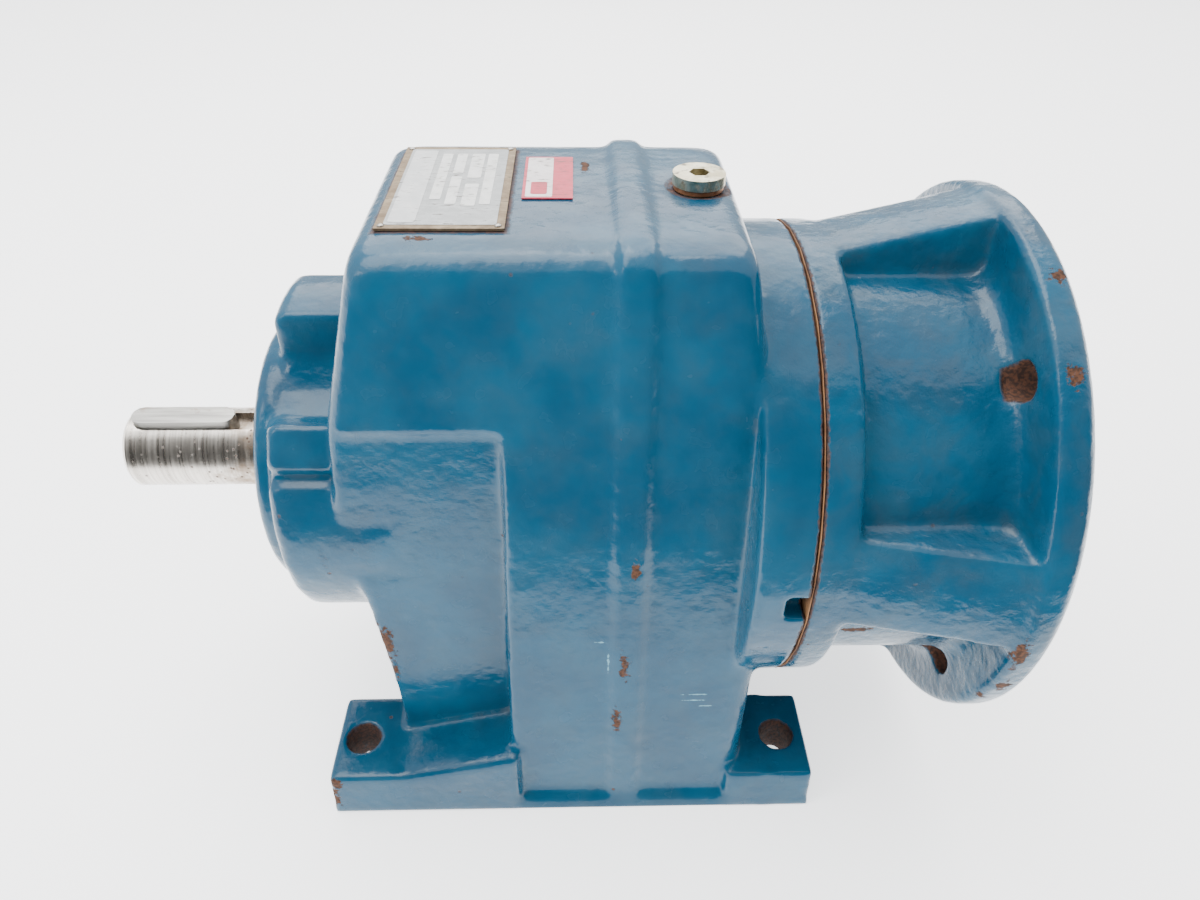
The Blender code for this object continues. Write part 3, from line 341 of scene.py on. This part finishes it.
def flange_hole_rust(s, ragged):
    """Rust in and round the flange holes, which are turned with the whole adaptor."""
    x, y, z = s.axes()
    up = s.math("SUBTRACT", z, AXIS_Z * MM)
    along, across = math.cos(ADAPTOR_TURN), math.sin(ADAPTOR_TURN)
    side = s.math("ADD", s.math("MULTIPLY", y, along), s.math("MULTIPLY", up, across))
    rise = s.math("SUBTRACT", s.math("MULTIPLY", up, along), s.math("MULTIPLY", y, across))
    side, rise = s.math("ABSOLUTE", side), s.math("ABSOLUTE", rise)
    away = s.away(side, rise, FLANGE_HOLE, FLANGE_HOLE)
    edge = s.math("ADD", away, s.math("MULTIPLY", ragged, 0.0016))
    behind = s.spread(x, (FLANGE_BACK_X - 6.0) * MM, (FLANGE_BACK_X - 4.0) * MM)
    return s.math("MULTIPLY", behind, s.spread(edge, 7.7 * MM, 6.9 * MM, 0.0, 0.95))


def steel(name, dark, light, rough, stain=0.0, along=(40.0, 600.0, 600.0)):
    """Ground or turned steel: fine marks round the axis, and brown stains where stain is set."""
    s = Surface(name)
    marks = s.noise(1.0, 3.0, s.stretched(*along))
    cloud = s.noise(90.0, 4.0, rough=0.7)
    colour = s.mix(s.spread(marks, 0.3, 0.7), dark, light)
    spots = s.math("MULTIPLY", s.spread(cloud, 0.50, 0.66), stain)
    specks = s.spread(s.cells(420.0), 0.20, 0.08)
    specks = s.math("MULTIPLY", specks, s.math("MULTIPLY", s.spread(cloud, 0.46, 0.56), stain))
    brown = s.math("MAXIMUM", spots, specks)
    s.set(Base_Color=s.mix(brown, colour, (0.20, 0.115, 0.06)), Metallic=1.0)
    base = s.spread(marks, 0.25, 0.75, rough, rough + 0.12)
    s.set(Roughness=s.math("ADD", base, s.math("MULTIPLY", brown, 0.25), clamp=True))
    s.set(Normal=s.bump(marks, 0.15, 0.05, s.bump(cloud, 0.1, 0.1)))
    return s.material


def shaft_steel():
    """The output shaft: bright and rubbed at its end, brown and specked towards the seal."""
    s = Surface("shaft_ground_steel")
    x, _, _ = s.axes()
    rings = s.noise(1.0, 3.0, s.stretched(900.0, 25.0, 25.0))
    cloud = s.noise(70.0, 5.0, rough=0.7)
    colour = s.mix(s.spread(rings, 0.3, 0.7), (0.50, 0.46, 0.41), (0.80, 0.75, 0.68))
    inward = s.spread(x, (SHIFT - 150.0) * MM, (SHIFT - 112.0) * MM)
    stained = s.math("ADD", s.math("MULTIPLY", cloud, 0.9), s.math("MULTIPLY", inward, 0.30))
    brown = s.spread(stained, 0.56, 0.80, 0.0, 0.85)
    specks = s.spread(s.cells(380.0), 0.25, 0.10)
    specks = s.math("MULTIPLY", specks, s.spread(stained, 0.40, 0.58))
    colour = s.mix(brown, colour, (0.26, 0.17, 0.10))
    colour = s.mix(specks, colour, (0.085, 0.045, 0.025))
    s.set(Base_Color=colour, Metallic=s.math("SUBTRACT", 1.0, s.math("MULTIPLY", specks, 0.8)))
    rough = s.math("ADD", s.spread(rings, 0.25, 0.75, 0.24, 0.36), s.math("MULTIPLY", brown, 0.22))
    s.set(Roughness=s.math("ADD", rough, s.math("MULTIPLY", specks, 0.3), clamp=True))
    s.set(Normal=s.bump(rings, 0.12, 0.05, s.bump(specks, 0.3, -0.05)))
    return s.material


def moulded(name, dark, light, rough, scale=500.0, strength=0.3):
    """Rubber, elastomer, fibre or film: a fine grain and a slow change of tone."""
    s = Surface(name)
    grain = s.noise(scale, 3.0)
    slow = s.noise(60.0, 2.0)
    s.set(Base_Color=s.mix(s.spread(slow, 0.3, 0.7), dark, light))
    s.set(Roughness=s.spread(grain, 0.3, 0.7, rough - 0.08, rough + 0.08))
    s.set(Normal=s.bump(grain, strength, 0.12))
    return s.material


def plug_metal():
    """Zinc plating gone dull, with patches of oily dirt."""
    s = Surface("plug_dull_zinc")
    cloud = s.noise(160.0, 4.0, rough=0.65)
    colour = s.mix(s.spread(cloud, 0.35, 0.65), (0.50, 0.44, 0.28), (0.76, 0.72, 0.56))
    dirt = s.spread(s.noise(330.0, 3.0), 0.52, 0.66, 0.0, 0.8)
    s.set(Base_Color=s.mix(dirt, colour, (0.10, 0.075, 0.045)))
    s.set(Metallic=s.math("SUBTRACT", 1.0, s.math("MULTIPLY", dirt, 0.5)))
    s.set(Roughness=s.spread(cloud, 0.3, 0.7, 0.28, 0.46), Normal=s.bump(cloud, 0.25, 0.12))
    return s.material


def printed(name, colour, edge, rough, metallic):
    """A printed plate or label: scuffed, with its ground showing through at worn places."""
    s = Surface(name)
    scuff = s.noise(1.0, 4.0, s.stretched(260.0, 900.0, 260.0))
    cloud = s.noise(150.0, 4.0, rough=0.7)
    worn = s.math("MULTIPLY", s.spread(scuff, 0.52, 0.68), s.spread(cloud, 0.45, 0.62))
    s.set(Base_Color=s.mix(worn, s.mix(s.spread(cloud, 0.3, 0.7), colour, edge), GRIME))
    s.set(Metallic=metallic, Roughness=s.spread(scuff, 0.3, 0.7, rough, rough + 0.15))
    s.set(Normal=s.bump(scuff, 0.08, 0.04))
    return s.material


# ---- softened castings -------------------------------------------------------------------


def round_off(points, facets, centre_z=AXIS_Z):
    """Pushes a faceted turned surface about the shaft line onto the circle inside it."""
    y, z = points[:, 1], points[:, 2] - centre_z * MM
    step = 2 * math.pi / facets
    turn = np.arctan2(z, y) - FACET_START
    off = (turn / step) % 1.0 - 0.5
    factor = np.cos(off * step)
    points[:, 1] = y * factor
    points[:, 2] = z * factor + centre_z * MM


def trim_facets(points, cylinder, x0, x1):
    """The same for one cylinder, between two places along X, and nothing else near it."""
    radius, facets = cylinder
    y, z = points[:, 1], points[:, 2] - AXIS_Z * MM
    reach = np.hypot(y, z)
    inner = radius * MM * math.cos(math.pi / facets)
    x = points[:, 0]
    chosen = (reach > inner) & (reach < (radius + 0.35) * MM) & (x > x0 * MM) & (x < x1 * MM)
    factor = np.where(chosen, inner / np.maximum(reach, 1e-9), 1.0)
    points[:, 1] = y * factor
    points[:, 2] = z * factor + AXIS_Z * MM


def ramp(distance, near, far):
    """0 within near, 1 beyond far, in millimetres."""
    return np.clip((distance / MM - near) / (far - near), 0.0, 1.0)


def case_softness(points):
    """How much each point of the case is softened: less at machined faces and bores."""
    x, y, z = points.T
    reach = np.hypot(y, z - AXIS_Z * MM)
    soft = 0.25 + 0.75 * ramp(np.abs(x - JOINT_X * MM), 1.6, 4.0)
    soft *= 0.2 + 0.8 * ramp(z, 1.0, 4.0)
    boss = ramp(x - BOSS_X * MM, 1.0, 5.0)
    soft *= np.where(reach < SEAT_REACH * MM, 0.15 + 0.85 * boss, 1.0)
    for hole_x in (SHIFT - FOOT_HOLE[0], SHIFT + FOOT_HOLE[0]):
        hole = np.hypot(x - hole_x * MM, np.abs(y) - FOOT_HOLE[1] * MM)
        soft *= np.where(z < 0.035, 0.3 + 0.7 * ramp(hole, 8.0, 10.0), 1.0)
    slot = (np.abs(z - AXIS_Z * MM) < 0.012) & (y < -0.074) & (x > (JOINT_X - 12.0) * MM)
    return np.where(slot, 0.15 * soft, soft)


def adaptor_softness(points):
    """How much each point of the adaptor is softened: less at faces, holes, rim and inside."""
    x, y, z = points.T
    reach = np.hypot(y, z - AXIS_Z * MM)
    soft = 0.25 + 0.75 * ramp(x - JOINT_X * MM, 1.6, 4.0)
    soft *= 0.25 + 0.75 * ramp(FLANGE_X * MM - x, 0.5, 2.5)
    up = z - AXIS_Z * MM
    side = np.abs(y * math.cos(ADAPTOR_TURN) + up * math.sin(ADAPTOR_TURN))
    rise = np.abs(up * math.cos(ADAPTOR_TURN) - y * math.sin(ADAPTOR_TURN))
    hole = np.hypot(side - FLANGE_HOLE * MM, rise - FLANGE_HOLE * MM)
    soft *= np.where(x > (FLANGE_BACK_X - 7.0) * MM, 0.3 + 0.7 * ramp(hole, 7.5, 9.5), 1.0)
    soft *= np.where(reach > RIM_REACH * MM, 0.45, 1.0)
    return np.where(reach < BELL_REACH * MM, 0.2 * soft, soft)


def relax(mesh, softness, rounds):
    """Moves each point towards the mean of its neighbours, again and again."""
    points = np.empty(len(mesh.vertices) * 3)
    mesh.vertices.foreach_get("co", points)
    points = points.reshape(-1, 3)
    edges = np.empty(len(mesh.edges) * 2, int)
    mesh.edges.foreach_get("vertices", edges)
    first, second = edges.reshape(-1, 2).T
    count = np.bincount(first, minlength=len(points)) + np.bincount(second, minlength=len(points))
    pull = 0.6 * softness(points)[:, None]
    for _ in range(rounds):
        total = np.empty_like(points)
        for axis in range(3):
            column = points[:, axis]
            total[:, axis] = np.bincount(first, column[second], len(points))
            total[:, axis] += np.bincount(second, column[first], len(points))
        points += pull * (total / count[:, None] - points)
    mesh.vertices.foreach_set("co", points.ravel())
    mesh.update()


def casting(node, softness, shape):
    """A finely meshed copy of a casting with its edges softened, standing for its CAD node."""
    name = node + "_cast"
    made = bpy.data.objects.new(name, NODES[node].data.copy())
    bpy.context.scene.collection.objects.link(made)
    weld = made.modifiers.new("weld", "WELD")
    weld.merge_threshold = 1e-6
    remesh = made.modifiers.new("remesh", "REMESH")
    remesh.mode = "VOXEL"
    remesh.voxel_size = VOXEL
    graph = bpy.context.evaluated_depsgraph_get()
    mesh = bpy.data.meshes.new_from_object(made.evaluated_get(graph))
    made.modifiers.clear()
    made.data = mesh
    points = np.empty(len(mesh.vertices) * 3)
    mesh.vertices.foreach_get("co", points)
    points = points.reshape(-1, 3)
    shape(points)
    mesh.vertices.foreach_set("co", points.ravel())
    relax(mesh, softness, RELAX_ROUNDS)
    mesh.polygons.foreach_set("use_smooth", np.ones(len(mesh.polygons), bool))
    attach(made, "housing")
    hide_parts(node)
    return made


def round_case(points):
    trim_facets(points, BOSS_LOBES, BOSS_X + 8.0, BOSS_X + 48.0)
    trim_facets(points, BOSS_DISC, BOSS_X + 2.0, BOSS_X + 14.0)
    trim_facets(points, NECK, JOINT_X - 12.0, JOINT_X + 6.0)


def round_adaptor(points):
    round_off(points, ADAPTOR_FACETS)


# ---- plates ------------------------------------------------------------------------------


def slab(name, x, y, z, corner, material):
    """A thin plate with rounded corners and a softened upper edge, between (low, high) pairs."""
    builder = bmesh.new()
    turns = ((x[1], y[1], 0), (x[0], y[1], 1), (x[0], y[0], 2), (x[1], y[0], 3))
    rim = []
    for cx, cy, quarter in turns:
        dx = -corner if cx == x[1] else corner
        dy = -corner if cy == y[1] else corner
        for i in range(4):
            turn = math.radians(90.0 * quarter + 30.0 * i)
            px = cx + dx + corner * math.cos(turn)
            py = cy + dy + corner * math.sin(turn)
            rim.append(builder.verts.new((px * MM, py * MM, z[0] * MM)))
    face = builder.faces.new(rim)
    raised = bmesh.ops.extrude_face_region(builder, geom=[face])
    moved = [item for item in raised["geom"] if isinstance(item, bmesh.types.BMVert)]
    bmesh.ops.translate(builder, verts=moved, vec=(0.0, 0.0, (z[1] - z[0]) * MM))
    bmesh.ops.recalc_face_normals(builder, faces=builder.faces)
    mesh = bpy.data.meshes.new(name)
    builder.to_mesh(mesh)
    builder.free()
    made = bpy.data.objects.new(name, mesh)
    bpy.context.scene.collection.objects.link(made)
    bevel = made.modifiers.new("edge", "BEVEL")
    bevel.width = 0.3 * (z[1] - z[0]) * MM
    bevel.segments = 2
    mesh.materials.append(material)
    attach(made, "housing")
    return made


def nameplate_print():
    """The printing on the nameplate: a pale panel, a header strip and blank fields."""
    low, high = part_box("nameplate")
    x0, x1, y0, y1 = (value / MM for value in (low.x, high.x, low.y, high.y))
    top = high.z / MM
    panel = printed("plate_panel", (0.30, 0.31, 0.31), (0.42, 0.43, 0.43), 0.34, 0.6)
    field = printed("plate_field", (0.74, 0.74, 0.72), (0.60, 0.60, 0.58), 0.45, 0.1)
    strip = printed("plate_strip", (0.50, 0.51, 0.51), (0.62, 0.62, 0.61), 0.36, 0.4)
    levels = ((top + 0.02, top + 0.14), (top + 0.16, top + 0.24))
    border = 2.4
    inside_x = (x0 + border, x1 - border)
    inside_y = (y0 + border, y1 - border)
    slab("nameplate_panel", inside_x, inside_y, levels[0], 1.2, panel)
    head = (inside_x[0] + 1.0, inside_x[0] + 9.0)
    slab("nameplate_header", head, (y0 + 4.0, y1 - 4.0), levels[1], 0.8, strip)
    rows = ((11.0, 3.4), (16.0, 3.4), (21.0, 4.4), (26.5, 3.4))
    spans = (
        ((0.36, 0.95),),
        ((0.30, 0.62), (0.70, 0.95)),
        ((0.28, 0.52), (0.64, 0.95)),
        ((0.30, 0.95),),
    )
    length = inside_y[1] - inside_y[0]
    for row, (start, depth) in enumerate(rows):
        along_x = (inside_x[0] + start, inside_x[0] + start + depth)
        for column, (near, far) in enumerate(spans[row]):
            along_y = (inside_y[0] + near * length - 4.0, inside_y[0] + far * length - 1.5)
            name = "nameplate_field_%d_%d" % (row + 1, column + 1)
            slab(name, along_x, along_y, levels[1], 0.5, field)


def nameplate_rivets():
    """Four dome-headed rivets at the corners of the plate."""
    low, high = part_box("nameplate")
    look = steel("rivet_steel", (0.30, 0.28, 0.25), (0.50, 0.48, 0.44), 0.35, 0.5)
    for number in range(4):
        x = (low.x, high.x)[number % 2] + (1.9 * MM, -1.9 * MM)[number % 2]
        y = (low.y, high.y)[number // 2] + (1.9 * MM, -1.9 * MM)[number // 2]
        builder = bmesh.new()
        bmesh.ops.create_uvsphere(builder, u_segments=16, v_segments=8, radius=1.1 * MM)
        for vertex in builder.verts:
            vertex.co.z = max(vertex.co.z, 0.0) * 0.55
        bmesh.ops.remove_doubles(builder, verts=builder.verts, dist=1e-7)
        mesh = bpy.data.meshes.new("nameplate_rivet_%d" % (number + 1))
        builder.to_mesh(mesh)
        builder.free()
        mesh.materials.append(look)
        mesh.polygons.foreach_set("use_smooth", [True] * len(mesh.polygons))
        made = bpy.data.objects.new(mesh.name, mesh)
        bpy.context.scene.collection.objects.link(made)
        made.location = (x, y, high.z + 0.01 * MM)
        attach(made, "housing")


def label_print():
    """The red label's pale band and the thin bar beside it."""
    low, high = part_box("lubricant_label")
    x0, y0, y1 = (value / MM for value in (low.x, low.y, high.y))
    top = high.z / MM
    white = printed("label_white", (0.80, 0.76, 0.75), (0.70, 0.64, 0.63), 0.4, 0.0)
    red = printed("label_red", (0.55, 0.035, 0.075), (0.45, 0.03, 0.06), 0.38, 0.0)
    level = (top + 0.02, top + 0.08)
    slab("label_band", (x0 + 1.0, x0 + 9.5), (y0 + 1.0, y1 - 1.0), level, 0.6, white)
    mark = (top + 0.10, top + 0.16)
    slab("label_block", (x0 + 2.6, x0 + 7.8), (y0 + 3.0, y0 + 13.0), mark, 0.8, red)


# ---- stage -------------------------------------------------------------------------------


def plane(name, corners, material):
    mesh = bpy.data.meshes.new(name)
    mesh.from_pydata(corners, [], [range(len(corners))])
    mesh.materials.append(material)
    made = bpy.data.objects.new(name, mesh)
    bpy.context.scene.collection.objects.link(made)
    return made


def make_floor():
    s = Surface("floor_white")
    tone = s.spread(s.noise(1.5, 2.0), 0.3, 0.7)
    s.set(Base_Color=s.mix(tone, (0.90, 0.90, 0.905), (0.93, 0.93, 0.932)))
    s.set(Roughness=0.5, Specular_IOR_Level=0.25)
    s.set(Emission_Color=(1.0, 1.0, 1.0, 1.0), Emission_Strength=1.5)
    reach = 4.0
    signs = ((-1, -1), (1, -1), (1, 1), (-1, 1))
    corners = [(side * reach, depth * reach, 0.0) for side, depth in signs]
    return plane("floor", corners, s.material)


def make_flag():
    """A dark card in front of the table, seen only in the gloss, where a room would be dark."""
    s = Surface("flag_black")
    tone = s.spread(s.noise(3.0), 0.3, 0.7)
    s.set(Base_Color=s.mix(tone, (0.01, 0.01, 0.01), (0.02, 0.02, 0.02)))
    s.set(Roughness=1.0, Specular_IOR_Level=0.0)
    y = -0.245
    corners = ((-1.4, y, 0.001), (1.4, y, 0.001), (1.4, y - 0.1, 0.9), (-1.4, y - 0.1, 0.9))
    flag = plane("flag", corners, s.material)
    flag.visible_camera = False
    flag.visible_diffuse = False
    flag.visible_shadow = False
    return flag


def area_light(name, place, target, size, power, colour=(1.0, 1.0, 1.0)):
    data = bpy.data.lights.new(name, "AREA")
    data.shape = "RECTANGLE"
    data.size, data.size_y = size
    data.energy = power
    data.color = colour
    made = bpy.data.objects.new(name, data)
    bpy.context.scene.collection.objects.link(made)
    made.location = place
    aim = Vector(target) - Vector(place)
    made.rotation_euler = aim.to_track_quat("-Z", "Y").to_euler()
    return made


def make_world():
    """A pale room: bright above, dimmer towards the horizon."""
    world = bpy.data.worlds.new("room")
    bpy.context.scene.world = world
    world.use_nodes = True
    tree = world.node_tree
    background = tree.nodes["Background"]
    place = tree.nodes.new("ShaderNodeTexCoord")
    split = tree.nodes.new("ShaderNodeSeparateXYZ")
    tree.links.new(place.outputs["Generated"], split.inputs[0])
    rise = tree.nodes.new("ShaderNodeMapRange")
    rise.interpolation_type = "SMOOTHSTEP"
    rise.inputs["From Min"].default_value = -0.1
    rise.inputs["From Max"].default_value = 0.9
    rise.inputs["To Min"].default_value = 1.0
    rise.inputs["To Max"].default_value = 1.9
    tree.links.new(split.outputs[2], rise.inputs["Value"])
    tree.links.new(rise.outputs[0], background.inputs["Strength"])
    background.inputs["Color"].default_value = (0.97, 0.985, 1.0, 1.0)


def make_camera():
    data = bpy.data.cameras.new("camera")
    data.sensor_width = 36.0
    data.lens = LENS
    data.clip_start = 0.01
    data.clip_end = 50.0
    made = bpy.data.objects.new("camera", data)
    bpy.context.scene.collection.objects.link(made)
    tilt = Matrix.Rotation(0.5 * math.pi - CAMERA_TILT, 4, "X")
    turn = Matrix.Rotation(-CAMERA_YAW, 4, "Z")
    roll = Matrix.Rotation(CAMERA_ROLL, 4, "Z")
    made.matrix_world = Matrix.Translation(Vector(CAMERA_AT) * MM) @ turn @ tilt @ roll
    bpy.context.scene.camera = made
    return made


# ---- dressing the CAD nodes --------------------------------------------------------------


def dress(obj, material):
    """Gives an object this one material."""
    obj.data.materials.clear()
    obj.data.materials.append(material)


def smooth_shading(obj, angle=35.0):
    """Rounds the shading of a faceted node, and keeps its real edges."""
    custom = obj.data.attributes.get("custom_normal")
    if custom:
        obj.data.attributes.remove(custom)
    obj.data.polygons.foreach_set("use_smooth", [True] * len(obj.data.polygons))
    weld = obj.modifiers.new("weld", "WELD")
    weld.merge_threshold = 1e-6
    split = obj.modifiers.new("edges", "EDGE_SPLIT")
    split.split_angle = math.radians(angle)


def slot_looks():
    """The material of each of the record's slots, apart from the two castings."""
    zinc = plug_metal()
    copper = steel("washer_copper", (0.45, 0.20, 0.10), (0.68, 0.36, 0.20), 0.34, 0.3)
    key = steel("key_bright_steel", (0.34, 0.33, 0.31), (0.52, 0.51, 0.48), 0.30, 0.5)
    gear = steel("gear_oiled_steel", (0.26, 0.25, 0.23), (0.42, 0.41, 0.39), 0.26, 0.2)
    spacer = steel("spacer_turned_steel", (0.38, 0.37, 0.36), (0.55, 0.54, 0.52), 0.32, 0.1)
    bearing = steel("bearing_polished_steel", (0.60, 0.60, 0.61), (0.75, 0.75, 0.76), 0.14)
    circlip = steel("circlip_phosphate", (0.03, 0.03, 0.03), (0.07, 0.07, 0.075), 0.5)
    hub = steel("hub_turned_iron", (0.22, 0.22, 0.22), (0.36, 0.36, 0.36), 0.38, 0.4)
    screw = steel("screw_black_oxide", (0.02, 0.02, 0.022), (0.05, 0.05, 0.054), 0.42, 0.5)
    gasket = moulded("gasket_brown_fibre", (0.10, 0.040, 0.015), (0.26, 0.125, 0.05), 0.85, 700.0)
    seal = moulded("seal_nitrile", (0.010, 0.010, 0.011), (0.025, 0.025, 0.027), 0.6)
    spider = moulded("spider_red_urethane", (0.42, 0.03, 0.02), (0.55, 0.06, 0.04), 0.5)
    plate = printed("plate_border", (0.16, 0.11, 0.065), (0.30, 0.23, 0.15), 0.5, 0.6)
    label = printed("label_film", (0.60, 0.04, 0.085), (0.50, 0.035, 0.07), 0.38, 0.0)
    return {
        "cover_paint": paint("cover_gloss_paint", CASE_CHIPS[:1], ()),
        "gasket_fibre": gasket,
        "screw_black": screw,
        "plug_zinc": zinc,
        "copper_washer": copper,
        "nameplate_metal": plate,
        "label_film": label,
        "shaft_steel": shaft_steel(),
        "key_steel": key,
        "gear_steel": gear,
        "spacer_steel": spacer,
        "bearing_steel": bearing,
        "seal_rubber": seal,
        "circlip_steel": circlip,
        "hub_steel": hub,
        "spider_elastomer": spider,
    }


def dress_nodes(case_look, adaptor_look):
    """Gives each CAD node its slot's material and smooth shading, and small ones a soft edge."""
    looks = slot_looks()
    looks["case_paint"] = case_look
    looks["adaptor_paint"] = adaptor_look
    slots = {part["node"]: part["material_slot"] for part in frame["record"]["subparts"]}
    for node, obj in NODES.items():
        dress(obj, looks[slots[node]])
        if not obj.hide_render:
            smooth_shading(obj)
    for node in ("output_key", "filler_plug", "level_plug", "drain_plug", "nameplate"):
        bevel = NODES[node].modifiers.new("edge", "BEVEL")
        bevel.width = 0.25 * MM
        bevel.segments = 2
        bevel.limit_method = "ANGLE"


def main():
    case = casting("gear_case", case_softness, round_case)
    adaptor = casting("motor_adaptor", adaptor_softness, round_adaptor)
    case_scars = (foot_hole_rust, joint_rust, spotface_grime, plate_edge_grime)
    case_look = paint("case_gloss_paint", CASE_CHIPS, case_scars, 1.0, SCRATCHES)
    adaptor_look = paint("adaptor_gloss_paint", ADAPTOR_CHIPS, (flange_hole_rust, joint_rust), 1.8)
    dress(case, case_look)
    dress(adaptor, adaptor_look)
    dress_nodes(case_look, adaptor_look)
    nameplate_print()
    nameplate_rivets()
    label_print()
    make_floor()
    make_flag()
    make_world()
    make_camera()
    area_light("overhead", (-0.25, 0.25, 1.3), (0.0, 0.0, 0.1), (1.1, 0.7), 16.0)
    area_light("far_window", (0.1, 1.2, 1.2), (0.0, 0.0, 0.15), (1.8, 1.1), 22.0)
    area_light("window", (-1.2, -0.5, 0.9), (0.0, 0.0, 0.12), (0.5, 0.9), 9.0)


main()
